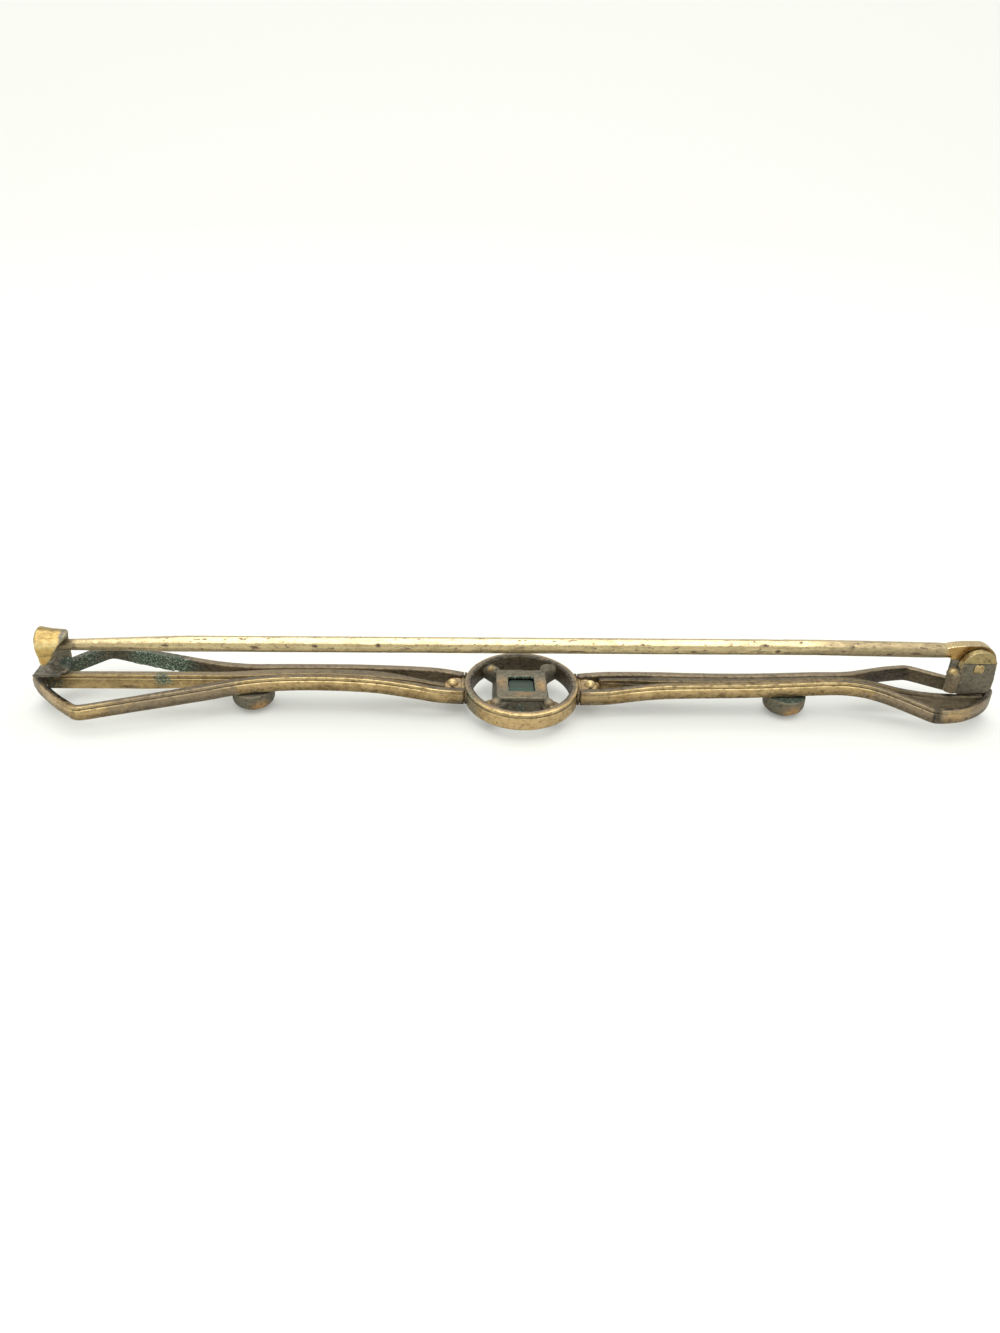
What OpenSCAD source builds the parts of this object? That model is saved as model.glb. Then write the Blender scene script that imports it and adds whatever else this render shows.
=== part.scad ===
// Bar brooch, lying face down with its pin on top.
// Millimetres. +Z is up, away from the face; +X points to the hinge; the origin
// is on the table under the middle of the ring.

/* [Strips] */
// Thickness of the strip that outlines each bar
strip_t = 0.5; // [0.45:0.01:0.52]
// Thickness of the same strip round the open kites
kite_t = 0.36; // [0.34:0.01:0.42]
// Depth of the strips, from the back of the bar to its face
strip_d = 0.98; // [0.9:0.01:1.05]
// Thickness of the middle strip where it stands free
spine_t = 0.42; // [0.38:0.01:0.45]
// Depth of the line that is drawn along the strips, below their back edge
line_in = 0.09; // [0:0.01:0.12]
// Solder seam between the middle strip and the outline, each side
seam = 0.02; // [0.01:0.01:0.04]

/* [Ring] */
// Outer radius of the ring
ring_r = 3.566; // [3.5:0.001:3.6]
// Wall of the ring
ring_wall = 0.49; // [0.45:0.01:0.55]
// Height of the ring
ring_h = 1.14; // [1.1:0.01:1.2]

/* [Setting] */
// Width of the square collet at its back
collet_back_w = 3.14; // [3.0:0.01:3.2]
// Width of the square collet at its front
collet_front_w = 3.5; // [3.4:0.01:3.55]
// Width of the window in the back of the collet
window_w = 1.62; // [1.5:0.01:1.7]
// Width of the square stone at its girdle
stone_w = 2.84; // [2.7:0.01:2.86]
// Width of the narrowest of the four claws that hold the collet in the ring
claw_w = 0.54; // [0.5:0.01:0.58]

/* [Studs] */
// Radius of the round studs on the face of the bars
stud_r = 1.3; // [1.2:0.01:1.35]
// Height of the domed end of a stud
stud_dome_h = 0.76; // [0.6:0.01:0.9]

/* [Pin] */
// Radius of the pin stem
stem_r = 0.49; // [0.46:0.01:0.49]
// Radius of the flat head that turns between the ears
head_r = 1.3; // [1.25:0.01:1.35]
// Thickness of the flat head
head_t = 0.7; // [0.66:0.01:0.72]
// Radius of the rivet
rivet_r = 0.3; // [0.28:0.01:0.32]
// Radius of the round top of the ears
ear_r = 1.12; // [1.1:0.01:1.2]
// Thickness of an ear
ear_t = 0.4; // [0.35:0.01:0.45]

/* [Catch] */
// Radius of the hook, at the middle of the sheet
hook_r = 0.86; // [0.84:0.01:0.9]
// Thickness of the sheet
sheet_t = 0.24; // [0.2:0.01:0.26]

/* [Hidden] */
$fn = 64;
eps = 0.01;

// Where the rivet crosses the ears
pivot = [28.3, 0, 3.72];
// Points on the axis of the stem, from the hinge to the tip
stem_root = [26, 0, 4.6];
stem_b = [18, 0, 4.67];
stem_a = [-20, 0, 4.31];
taper_end = [-27.5, 0, 4.12];
// Height of the ring's face above the table: it hangs between the studs
face_z = 0.62;
// The ring and its setting are bent up a little at the back, about the ring's
// front edge
ring_lean = 2;
// Free room on each side of the head, and round the rivet in the head
head_gap = 0.05;
rivet_gap = 0.04;

BRASS = "#a9854f";
DARK_BRASS = "#6f6046";
PALE_GOLD = "#d8c892";
GOLD = "#c79a45";
GREEN = "#1f4d3a";

// Centre lines of the strips, from the ring outwards. Columns: x, y, height of
// the back edge, and how much of the way to the next rows the bend takes.
BENT = 0.47;
SHARP = 0.09;
POINTED = 0;
left_back_rows = [
  [-3.62, 0.95, 1.88, BENT],
  [-5.1, 1.13, 2.05, BENT],
  [-6.5, 0.97, 2.24, BENT],
  [-8.8, 0.72, 2.46, BENT],
  [-11.3, 0.62, 2.55, BENT],
  [-14.6, 0.60, 2.51, BENT],
  [-17.2, 0.80, 2.34, BENT],
  [-19.8, 1.52, 2.18, BENT],
  [-26.16, 3.14, 2.42, SHARP],
  [-28.0, 1.72, 2.20, 0.3]
];
left_front_rows = [
  [-3.62, -0.95, 1.88, BENT],
  [-5.1, -1.13, 2.05, BENT],
  [-6.5, -0.97, 2.24, BENT],
  [-8.8, -0.72, 2.46, BENT],
  [-11.3, -0.62, 2.55, BENT],
  [-14.6, -0.60, 2.51, BENT],
  [-17.2, -0.80, 2.34, BENT],
  [-19.8, -1.56, 2.16, BENT],
  [-26.4, -3.2, 1.77, SHARP],
  [-28.02, -1.93, 1.84, BENT],
  [-29.42, -0.48, 1.91, 0.3]
];
left_tip_row = [-29.8, 0.05, 1.94, POINTED];
right_back_rows = [
  [3.62, 0.92, 1.88, BENT],
  [5.3, 1.03, 1.99, BENT],
  [6.7, 0.86, 2.12, BENT],
  [8.6, 0.66, 2.24, BENT],
  [11.5, 0.56, 2.26, BENT],
  [15, 0.51, 2.32, BENT],
  [18.4, 0.46, 2.52, BENT],
  [20.6, 0.45, 2.57, BENT],
  [22.0, 0.92, 2.52, BENT],
  [23.6, 1.75, 2.25, BENT],
  [25.42, 2.44, 2.00, SHARP]
];
right_front_rows = [
  [3.62, -0.92, 1.88, BENT],
  [5.3, -1.03, 1.99, BENT],
  [6.7, -0.86, 2.12, BENT],
  [8.6, -0.66, 2.24, BENT],
  [11.5, -0.56, 2.26, BENT],
  [15, -0.51, 2.32, BENT],
  [18.4, -0.46, 2.52, BENT],
  [20.6, -0.46, 2.57, BENT],
  [22.4, -1.0, 2.47, BENT],
  [25.34, -2.74, 1.95, SHARP],
  [26.8, -2.6, 1.94, BENT],
  [28.0, -2.05, 1.93, BENT],
  [28.87, -1.42, 1.92, BENT],
  [29.5, -0.74, 1.91, BENT]
];
right_tip_row = [29.9, 0, 1.90, 0.3];
// The middle strips. Columns as above, and the strip's thickness.
left_spine_rows = [
  [-4.75, -0.42, 1.92, BENT, spine_t],
  [-6.5, -0.30, 2.18, BENT, spine_t],
  [-8.6, -0.06, 2.40, BENT, 0.8],
  [-11.3, 0, 2.51, BENT, 0.7],
  [-14.6, 0, 2.47, BENT, 0.66],
  [-16.6, 0, 2.32, BENT, 0.78],
  [-18.2, 0, 2.22, BENT, 0.6],
  [-20.0, 0, 2.21, BENT, 0.58],
  [-27.2, 0, 2.16, BENT, 0.58],
  [-29.05, 0, 2.12, BENT, 0.5]
];
right_spine_rows = [
  [4.9, 0.42, 1.94, BENT, spine_t],
  [6.6, 0.28, 2.06, BENT, spine_t],
  [8.6, 0.06, 2.19, BENT, 0.68],
  [11.5, 0, 2.22, BENT, 0.58],
  [15, 0, 2.28, BENT, 0.48],
  [18.4, 0, 2.48, BENT, spine_t],
  [20.6, 0, 2.52, BENT, spine_t],
  [22.2, -0.15, 2.34, BENT, spine_t],
  [24.0, -0.36, 1.92, BENT, spine_t],
  [26.2, -0.66, 1.75, BENT, spine_t],
  [29.1, -0.66, 1.74, BENT, spine_t]
];

function plan(v) = [v.x, v.y, 0];
function unit(v) = v / norm(v);
function reversed(rows) = [for (i = [len(rows) - 1 : -1 : 0]) rows[i]];

// A row's bend as a parabola between the straight runs on each side of it
function bend_at(rows, i, steps) =
  let (
    reach = rows[i][3],
    from = rows[i] + (rows[i - 1] - rows[i]) * reach,
    to = rows[i] + (rows[i + 1] - rows[i]) * reach
  )
  [
    for (k = [0 : steps])
      let (t = k / steps)
        from * (1 - t) * (1 - t) + rows[i] * 2 * t * (1 - t) + to * t * t
  ];

function bent_path(rows, steps = 3) =
  concat(
    [rows[0]],
    [
      for (i = [1 : len(rows) - 2])
        each (rows[i][3] == POINTED ? [rows[i]] : bend_at(rows, i, steps))
    ],
    [rows[len(rows) - 1]]
  );

// One side of a strip's section, from the back edge down. Columns: across, down
function section_side(t, line, depth) = [
  [t / 2 - 0.07, 0],
  [t / 2 - line / 4, -0.06],
  [t / 2 - line / 4, -0.18],
  [t / 2 - line, -0.24],
  [t / 2, -0.31],
  [t / 2, -depth + 0.08],
  [t / 2 - 0.08, -depth]
];

function section(t, right_line, left_line, depth) =
  concat(
    section_side(t, right_line, depth),
    [for (p = reversed(section_side(t, left_line, depth))) [-p[0], p[1]]]
  );

// A moulded strip along a path, its section kept upright and mitred at bends
module strip(path, thick, right_line, left_line, deep = function(p) strip_d) {
  last = len(path) - 1;
  side = 7;
  around = 2 * side;
  points = [
    for (i = [0 : last])
      let (
        before = unit(plan(path[max(i, 1)] - path[max(i, 1) - 1])),
        after = unit(plan(path[min(i, last - 1) + 1] - path[min(i, last - 1)])),
        along = unit(before + after),
        right = [along.y, -along.x, 0],
        mitre = 1 / (along * after)
      )
      for (s = section(thick(path[i]), right_line, left_line, deep(path[i])))
        [path[i].x, path[i].y, path[i].z] + right * s[0] * mitre + [0, 0, s[1]]
  ];
  walls = [
    for (i = [0 : last - 1])
      for (j = [0 : around - 1])
        let (
          a = i * around + j,
          b = i * around + (j + 1) % around,
          c = b + around,
          d = a + around
        )
        each [[a, c, b], [a, d, c]]
  ];
  caps = [
    for (j = [0 : side - 2])
      let (
        a = j,
        b = j + 1,
        c = around - 2 - j,
        d = around - 1 - j,
        far = last * around
      )
      each [[a, b, c, d], [far + d, far + c, far + b, far + a]]
  ];
  polyhedron(points, concat(walls, caps), convexity = 10);
}

module leaning() {
  translate([0, -ring_r, face_z])
    rotate([ring_lean, 0, 0])
      translate([0, ring_r, -face_z])
        children();
}

// Round band with a drawn line below its back edge, and softened arrises
module ring() {
  color(BRASS)
    leaning()
      translate([0, 0, face_z])
        rotate_extrude($fn = 96)
          polygon([
            [ring_r - ring_wall, 0.06],
            [ring_r - ring_wall + 0.06, 0],
            [ring_r - 0.08, 0],
            [ring_r, 0.08],
            [ring_r, ring_h - 0.31],
            [ring_r - line_in, ring_h - 0.24],
            [ring_r - line_in / 4, ring_h - 0.18],
            [ring_r - line_in / 4, ring_h - 0.06],
            [ring_r - 0.08, ring_h],
            [ring_r - ring_wall + 0.06, ring_h],
            [ring_r - ring_wall, ring_h - 0.06]
          ]);
}

// Heights of the collet before it leans: its back plate, where the flare ends,
// and its front edge, which is cut level and stands on the table with the studs
collet_top = 1.68;
flare_z = 0.7;
collet_bottom = -0.2;
rest_z = 0.01;
collet_wall = 0.28;
plate_t = 0.22;

module rounded_square(w, r, h) {
  linear_extrude(h)
    union() {
      square([w, w - 2 * r], center = true);
      square([w - 2 * r, w], center = true);
      for (sx = [-1, 1], sy = [-1, 1])
        translate([sx * (w / 2 - r), sy * (w / 2 - r)]) circle(r, $fn = 32);
    }
}

// Angles of the claws round the ring, their widths compared with claw_w, and
// the heights of their back edges
claws = [[45, 1.1, 1.6], [135, 1, 1.52], [225, 1.75, 1.34], [315, 1.15, 1.34]];

// A strut with rounded back edges, from the corner of the collet to the ring,
// with a grain of metal on it
module claw(w, top) {
  reach = ring_r - ring_wall - 0.03;
  inner = 1.7;
  outer = sqrt(reach * reach - w * w / 4);
  bottom = face_z + 0.12;
  grain_r = 0.33;
  edge_r = 0.2;
  translate([inner, 0, 0])
    rotate([90, 0, 90])
      linear_extrude(outer - inner)
        union() {
          translate([-w / 2, bottom]) square([w, top - edge_r - bottom]);
          translate([edge_r - w / 2, bottom]) square([w - 2 * edge_r, top - bottom]);
          for (side = [-1, 1])
            translate([side * (w / 2 - edge_r), top - edge_r]) circle(edge_r, $fn = 32);
        }
  translate([2.3, 0, top - 0.02]) sphere(grain_r, $fn = 24);
}

// A square frustum between two heights, narrowing upwards
module taper(half_low, half_high, low, high) {
  translate([0, 0, low])
    rotate([0, 0, 45])
      cylinder(h = high - low, r1 = half_low * sqrt(2), r2 = half_high * sqrt(2), $fn = 4);
}

// Open-backed square collet, wider towards the face, with its four claws
module setting() {
  half_back = collet_back_w / 2;
  half_front = collet_front_w / 2;
  half_in = half_front - collet_wall;
  plate_z = collet_top - plate_t;
  color(DARK_BRASS)
    difference() {
      leaning()
        difference() {
          union() {
            translate([0, 0, plate_z]) rounded_square(collet_back_w, 0.4, plate_t);
            taper(half_front, half_back * 0.94, flare_z, plate_z + eps);
            translate([-half_front, -half_front, collet_bottom])
              cube([collet_front_w, collet_front_w, flare_z - collet_bottom + eps]);
            for (c = claws) rotate([0, 0, c[0]]) claw(claw_w * c[1], c[2]);
          }
          taper(half_in, half_back - collet_wall - 0.1, flare_z, plate_z);
          translate([-half_in, -half_in, -1]) cube([2 * half_in, 2 * half_in, 1 + flare_z + eps]);
          translate([-window_w / 2, -window_w / 2, 0]) cube([window_w, window_w, 3]);
        }
      translate([-5, -5, rest_z - 2]) cube([10, 10, 2]);
    }
}

// A square step cut: the table is down, towards the face, and the flat back of
// the stone fills most of the window. Columns: height, half width
stone_rows = [
  [0.06, 0.86],
  [0.22, 1.14],
  [0.38, 1.38],
  [0.46, 1.42],
  [0.80, 1.22],
  [1.14, 0.98],
  [1.42, 0.76]
];

module stone() {
  corner_cut = 0.8;
  scale_w = stone_w / 2.84;
  around = 8;
  points = [
    for (row = stone_rows)
      let (w = row[1] * scale_w, c = w * corner_cut)
        each [
          [w, -c, row[0]], [w, c, row[0]], [c, w, row[0]], [-c, w, row[0]],
          [-w, c, row[0]], [-w, -c, row[0]], [-c, -w, row[0]], [c, -w, row[0]]
        ]
  ];
  steps = len(stone_rows) - 1;
  facets = [
    for (i = [0 : steps - 1])
      for (j = [0 : around - 1])
        let (a = i * around + j, b = i * around + (j + 1) % around)
          [a, a + around, b + around, b]
  ];
  table = [for (j = [0 : around - 1]) j];
  culet = [for (j = [around - 1 : -1 : 0]) steps * around + j];
  color(GREEN) leaning() polyhedron(points, concat([table, culet], facets));
}

function outline_t(p) =
  let (
    open = lookup(abs(p.x), [[19, 0], [23, 1]]),
    free_t = lookup(p.y, [[0, kite_t], [1.5, kite_t + 0.1]])
  )
  strip_t * (1 - open) + free_t * open;

// The drawn line is on the outside of the bar: outside is 1 where that is the
// right-hand side of the path, -1 where it is the left-hand side
module outline(back_rows, front_rows, tip_row, outside) {
  path = bent_path(concat(back_rows, [tip_row], reversed(front_rows)));
  strip(path, function(p) outline_t(p), outside > 0 ? line_in : 0, outside < 0 ? line_in : 0);
}

module left_outline() {
  color(BRASS) outline(left_back_rows, left_front_rows, left_tip_row, 1);
}

module right_outline() {
  color(BRASS) outline(right_back_rows, right_front_rows, right_tip_row, -1);
}

// A middle strip is shallower inside the bar, and end_d deep in the open kite
module spine(rows, end_d) {
  strip(
    bent_path(rows),
    function(p) p[4] - 2 * seam,
    line_in,
    line_in,
    function(p) lookup(abs(p.x), [[19, strip_d - 0.08], [23, end_d]])
  );
}

module left_spine() {
  color(BRASS) spine(left_spine_rows, strip_d + 0.06);
}

module right_spine() {
  color(BRASS) spine(right_spine_rows, strip_d + 0.12);
}

// The narrow joint between the ring and a bar, with the pellet at its end, the
// floor that runs on to the middle strip, and the solder that fills the space
// between the ring and the ends of the bar.
// It is drawn for the right bar, side = 1, and mirrored for the left, side = -1
module neck(side) {
  half_w = 0.64;
  joint_half_w = 1.2;
  inner_x = 3.1;
  low_z = 1.04;
  arm_end_x = 4.19;
  floor_end_x = side < 0 ? 4.7 : 4.86;
  joint_end_x = 3.56;
  color(BRASS)
    mirror([side < 0 ? 1 : 0, 0, 0])
      difference() {
        union() {
          translate([inner_x, -half_w, low_z]) cube([arm_end_x - inner_x, 2 * half_w, 0.66]);
          translate([inner_x, -half_w, low_z]) cube([floor_end_x - inner_x, 2 * half_w, 0.3]);
          translate([inner_x, -joint_half_w, low_z - 0.06])
            cube([joint_end_x - inner_x, 2 * joint_half_w, 0.86]);
          translate([4.32, 0, 1.68]) sphere(0.35, $fn = 24);
        }
        cylinder(h = 4, r = ring_r + seam, center = true, $fn = 96);
      }
}

module left_neck() {
  neck(-1);
}

module right_neck() {
  neck(1);
}

// A round boss: a domed end that stands on the table, a straight rim, and a
// short foot up to the bar
module stud(x, top) {
  foot_h = 0.06;
  rim_top = top - foot_h;
  flat = 0.2;
  steps = 8;
  color(DARK_BRASS)
    translate([x, 0, 0])
      rotate_extrude($fn = 48)
        polygon(
          concat(
            [[0, 0]],
            [
              for (i = [0 : steps])
                let (a = 90 * i / steps)
                  [flat + (stud_r - flat) * sin(a), stud_dome_h * (1 - cos(a))]
            ],
            [
              [stud_r, rim_top - 0.06],
              [stud_r - 0.06, rim_top],
              [0.6, rim_top],
              [0.6, top],
              [0, top]
            ]
          )
        );
}

module left_stud() {
  stud(-16.66, 1.36);
}

module right_stud() {
  stud(16.76, 1.41);
}

// The catch is one tapered sheet: it lies on the tip as a foot, rises behind
// the stem, curls over it and hangs in front as a point.
// Columns: y and z of the middle of the sheet, the way its outer side faces,
// its left edge and its right edge
hook_z = 4.14;
foot_z = 2.32;
foot_rows = [
  [-0.70, foot_z, -90, -29.60, -28.00],
  [0.35, foot_z, -90, -29.60, -27.80],
  [0.70, foot_z + 0.12, -50, -29.50, -27.75],
  [0.88, foot_z + 0.45, -12, -29.35, -27.72],
  [0.86, foot_z + 1.15, 0, -29.20, -27.70]
];
// Columns: angle round the stem from the far side, left edge and right edge
hook_rows = [
  [0, -29.15, -27.68],
  [60, -29.06, -27.60],
  [110, -29.05, -27.45],
  [135, -29.04, -27.50],
  [165, -28.98, -27.75],
  [205, -28.92, -28.12]
];
// The point that hangs straight down, in the columns of the foot
point_rows = [
  [-0.80, 3.52, 186, -28.93, -28.26],
  [-0.79, 3.28, 184, -28.90, -28.44],
  [-0.77, 3.10, 182, -28.82, -28.62]
];
// Places across the sheet, and how far out of the curl each one is: the left
// edge flares
hook_across = [[0, 0.12], [0.2, 0.05], [0.5, -0.03], [1, -0.08]];

function hook_ring(y, z, facing, x_left, x_right, flare) =
  let (out = [0, cos(facing), sin(facing)], half = sheet_t / 2, n = len(hook_across) - 1)
  [
    for (c = hook_across)
      [x_left + (x_right - x_left) * c[0], y, z] + out * (half + flare * c[1]),
    for (i = [n : -1 : 0])
      [x_left + (x_right - x_left) * hook_across[i][0], y, z]
        + out * (flare * hook_across[i][1] - half)
  ];

function between(table, angle, column) =
  lookup(angle, [for (row = table) [row[0], row[column]]]);

module catch() {
  steps = 16;
  last_angle = hook_rows[len(hook_rows) - 1][0];
  rings = concat(
    [for (r = foot_rows) hook_ring(r[0], r[1], r[2], r[3], r[4], 0)],
    [
      for (i = [0 : steps])
        let (a = last_angle * i / steps)
          hook_ring(
            hook_r * cos(a), hook_z + hook_r * sin(a), a,
            between(hook_rows, a, 1), between(hook_rows, a, 2), min(1, a / 60)
          )
    ],
    [for (r = point_rows) hook_ring(r[0], r[1], r[2], r[3], r[4], 0.6)]
  );
  around = 2 * len(hook_across);
  last = len(rings) - 1;
  walls = [
    for (i = [0 : last - 1])
      for (j = [0 : around - 1])
        let (a = around * i + j, b = around * i + (j + 1) % around)
          each [[a, b, b + around], [a, b + around, a + around]]
  ];
  ends = [
    for (j = [0 : len(hook_across) - 2])
      let (k = around - 1 - j, far = around * last)
        each [[k, k - 1, j + 1, j], [far + j, far + j + 1, far + k - 1, far + k]]
  ];
  color(GOLD) {
    polyhedron([for (r = rings) each r], concat(walls, ends), convexity = 6);
    translate([-29.0, -0.55, 2.16]) cube([0.95, 0.9, 0.1]);
    translate([-28.0, 0.42, 2.44]) sphere(0.28, $fn = 24);
  }
}

// Base, two round-topped ears and the stop lug. The head and the round tops
// share a middle that is a little off the rivet's.
head_mid = [28.25, 0, 3.82];
base_z = 1.98;
base_t = 0.2;
inner_y = head_t / 2 + head_gap;

module ear(r) {
  rotate([90, 0, 0])
    linear_extrude(ear_t)
      union() {
        translate([head_mid.x, head_mid.z]) circle(r, $fn = 48);
        polygon([
          [head_mid.x - r, head_mid.z],
          [head_mid.x - r + 0.02, base_z],
          [head_mid.x + r - 0.25, base_z],
          [head_mid.x + r + 0.08, base_z + 0.3],
          [head_mid.x + r + 0.1, base_z + 0.9],
          [head_mid.x + r, head_mid.z]
        ]);
      }
}

module hinge_bracket() {
  lug_r = 0.39;
  lug_at = [26.93, -0.64];
  lug_top = 3.56;
  lug_z = 2.06;
  color(DARK_BRASS)
    difference() {
      union() {
        translate([0, -inner_y, 0]) ear(ear_r);
        translate([0, inner_y + ear_t, 0]) ear(ear_r - 0.1);
        translate([head_mid.x - ear_r + 0.05, -inner_y - ear_t / 2, base_z])
          cube([2 * ear_r - 0.35, 2 * inner_y + ear_t, base_t]);
        translate([lug_at.x, lug_at.y, lug_z])
          cylinder(h = lug_top - lug_r - lug_z, r = lug_r, $fn = 32);
        translate([lug_at.x, lug_at.y, lug_top - lug_r]) sphere(lug_r, $fn = 32);
      }
      translate(pivot) rotate([90, 0, 0]) cylinder(h = 4, r = rivet_r + 0.015, center = true, $fn = 48);
      translate(head_mid)
        rotate([90, 0, 0])
          cylinder(h = 2 * inner_y, r = head_r + 0.12, center = true, $fn = 64);
    }
}

module hinge_rivet() {
  half_l = inner_y + ear_t + 0.03;
  color(GOLD)
    translate(pivot)
      rotate([90, 0, 0])
        rotate_extrude($fn = 48)
          polygon([
            [0, -half_l - 0.05], [rivet_r - 0.1, -half_l - 0.03], [rivet_r, -half_l + 0.05],
            [rivet_r, half_l - 0.05], [rivet_r - 0.1, half_l + 0.03], [0, half_l + 0.05]
          ]);
}

// A turned length of the stem from one point towards another. Profile columns:
// distance along, radius
module turned(from, to, profile) {
  run = to - from;
  last = profile[len(profile) - 1];
  translate(from)
    rotate([0, atan2(run.x, run.z), 0])
      rotate_extrude($fn = 48)
        polygon(concat([[0, profile[0][0]]], [for (p = profile) [p[1], p[0]]], [[0, last[0]]]));
}

module pin() {
  inside_r = stem_r - 0.02;
  stem_l = norm(stem_a - stem_b);
  root_l = norm(stem_root - stem_b);
  bar_h = 1.0;
  bar_x = stem_root.x + 0.15;
  bar_top = head_mid.z + head_r;
  // The disc is cut away below the bar, in front of the ears
  head_left_x = 27.4;
  color(PALE_GOLD)
    difference() {
      union() {
        difference() {
          translate(head_mid)
            rotate([90, 0, 0])
              cylinder(h = head_t, r = head_r, center = true, $fn = 96);
          translate([head_mid.x - 2, -1, 2]) cube([head_left_x - head_mid.x + 2, 2, bar_top - bar_h - 1.8]);
        }
        translate([0, head_t / 2, 0])
          rotate([90, 0, 0])
            linear_extrude(head_t)
              polygon([
                [bar_x, bar_top - 0.02],
                [bar_x + 0.5, bar_top - bar_h],
                [head_mid.x, bar_top - bar_h],
                [head_mid.x, bar_top - 0.01]
              ]);
        turned(stem_b, stem_a, [[0, stem_r], [stem_l, stem_r]]);
        turned(stem_b, stem_root, [
          [-0.3, inside_r - 0.02], [0, inside_r], [root_l - 2, stem_r - 0.01],
          [root_l + 0.15, stem_r - 0.01], [root_l + 0.6, 0.28]
        ]);
        turned(stem_a, taper_end, [
          [-0.3, inside_r - 0.01], [0, inside_r], [1.5, inside_r - 0.01], [7.5, 0.34],
          [8.3, 0.28], [8.9, 0.18], [9.1, 0.08]
        ]);
      }
      translate(pivot) rotate([90, 0, 0]) cylinder(h = 2, r = rivet_r + rivet_gap, center = true, $fn = 48);
    }
}

ring();
setting();
stone();
left_outline();
left_spine();
left_neck();
left_stud();
right_outline();
right_spine();
right_neck();
right_stud();
catch();
hinge_bracket();
hinge_rivet();
pin();
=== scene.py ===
# Bar brooch lying face down, seen from the side with its pin on top.
# Shapes are made in millimetres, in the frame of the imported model, and become
# metres when they turn into pieces.
from functools import partial, partialmethod, reduce
from itertools import product
from math import acos, cos, degrees, pi, radians, sin

import bpy
import numpy as np
from mathutils import Matrix


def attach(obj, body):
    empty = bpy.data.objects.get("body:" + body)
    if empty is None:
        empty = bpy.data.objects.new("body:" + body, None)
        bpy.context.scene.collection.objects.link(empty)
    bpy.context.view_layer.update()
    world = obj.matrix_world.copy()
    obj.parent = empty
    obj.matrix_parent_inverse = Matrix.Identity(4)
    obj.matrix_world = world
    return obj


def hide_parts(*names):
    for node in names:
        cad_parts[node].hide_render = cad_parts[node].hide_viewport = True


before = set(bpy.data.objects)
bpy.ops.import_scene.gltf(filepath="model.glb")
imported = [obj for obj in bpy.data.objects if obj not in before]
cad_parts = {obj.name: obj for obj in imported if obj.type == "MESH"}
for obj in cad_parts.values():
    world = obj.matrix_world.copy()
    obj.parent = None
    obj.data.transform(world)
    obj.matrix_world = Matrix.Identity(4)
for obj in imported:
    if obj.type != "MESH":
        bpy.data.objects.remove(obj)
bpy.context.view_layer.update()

MM = 0.001


def add_object(name, data):
    made = bpy.data.objects.new(name, data)
    bpy.context.scene.collection.objects.link(made)
    return made


# Camera, floor and light

CAMERA_AT = (-3.93, -51.71, 33.8)
CAMERA_PITCH = 0.5368
CAMERA_YAW = 0.0492
CAMERA_ROLL = 0.0387
FOCAL_PX = 974.97
PHOTO_LONG_SIDE_PX = 1333
SENSOR_MM = 36


def add_camera():
    data = bpy.data.cameras.new("camera")
    data.sensor_width = SENSOR_MM
    data.lens = FOCAL_PX * SENSOR_MM / PHOTO_LONG_SIDE_PX
    data.clip_start = 0.002
    data.clip_end = 20
    yaw_x, yaw_y = sin(CAMERA_YAW), cos(CAMERA_YAW)
    level = cos(CAMERA_PITCH)
    ahead = np.array([yaw_x * level, yaw_y * level, -sin(CAMERA_PITCH)])
    side = np.array([yaw_y, -yaw_x, 0])
    above = np.cross(side, ahead)
    right = cos(CAMERA_ROLL) * side + sin(CAMERA_ROLL) * above
    up = -sin(CAMERA_ROLL) * side + cos(CAMERA_ROLL) * above
    turn = Matrix(np.array([right, up, -ahead]).T.tolist()).to_4x4()
    turn.translation = [value * MM for value in CAMERA_AT]
    camera = add_object("camera", data)
    camera.matrix_world = turn
    bpy.context.scene.camera = camera


def add_soft_box(height, x_side, y_front, y_back, radiance):
    """A level soft box over the table, in mm, with the light that it gives off each way."""
    data = bpy.data.lights.new("soft_box", "AREA")
    data.shape = "RECTANGLE"
    data.size = 2 * x_side * MM
    data.size_y = (y_back - y_front) * MM
    data.energy = 4 * radiance * data.size * data.size_y
    lamp = add_object("soft_box", data)
    lamp.location = (0, (y_front + y_back) / 2 * MM, height * MM)
    lamp.visible_camera = False


def add_world(colour):
    world = bpy.data.worlds.new("studio")
    world.use_nodes = True
    world.node_tree.nodes["Background"].inputs["Color"].default_value = colour
    bpy.context.scene.world = world


SWEEP_FLAT_RINGS = (0.5, 30, 90, 170)
SWEEP_FLAT_R = 250
SWEEP_WALL_R = 450
SWEEP_AROUND = 96
SWEEP_COVE_STEPS = 25
# The floor glows a little by its own emission, painted light that lightens the shadows on it
FLOOR_GLOW = 0.62


def add_sweep(colour):
    """The pale floor, which curves up into a wall all round."""
    cove = SWEEP_WALL_R - SWEEP_FLAT_R
    profile = [(r, 0) for r in SWEEP_FLAT_RINGS]
    for a in np.linspace(0, pi / 2, SWEEP_COVE_STEPS):
        profile.append((SWEEP_FLAT_R + cove * sin(a), cove * (1 - cos(a))))
    turns = np.arange(SWEEP_AROUND) * 2 * pi / SWEEP_AROUND
    points = [(r * cos(a), r * sin(a), z) for r, z in profile for a in turns]
    # The last face would close the wall at its top
    faces = grid_faces(len(profile), SWEEP_AROUND)[:-1]
    sweep = new_object("floor", np.array(points) * MM, faces)
    sweep.data.polygons.foreach_set("use_smooth", [True] * len(sweep.data.polygons))
    graph = Graph("floor_paper")
    inputs = graph.shader.inputs
    inputs["Base Color"].default_value = colour
    inputs["Roughness"].default_value = 0.9
    inputs["Specular IOR Level"].default_value = 0.2
    inputs["Emission Color"].default_value = colour
    inputs["Emission Strength"].default_value = FLOOR_GLOW
    sweep.data.materials.append(graph.material)


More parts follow.
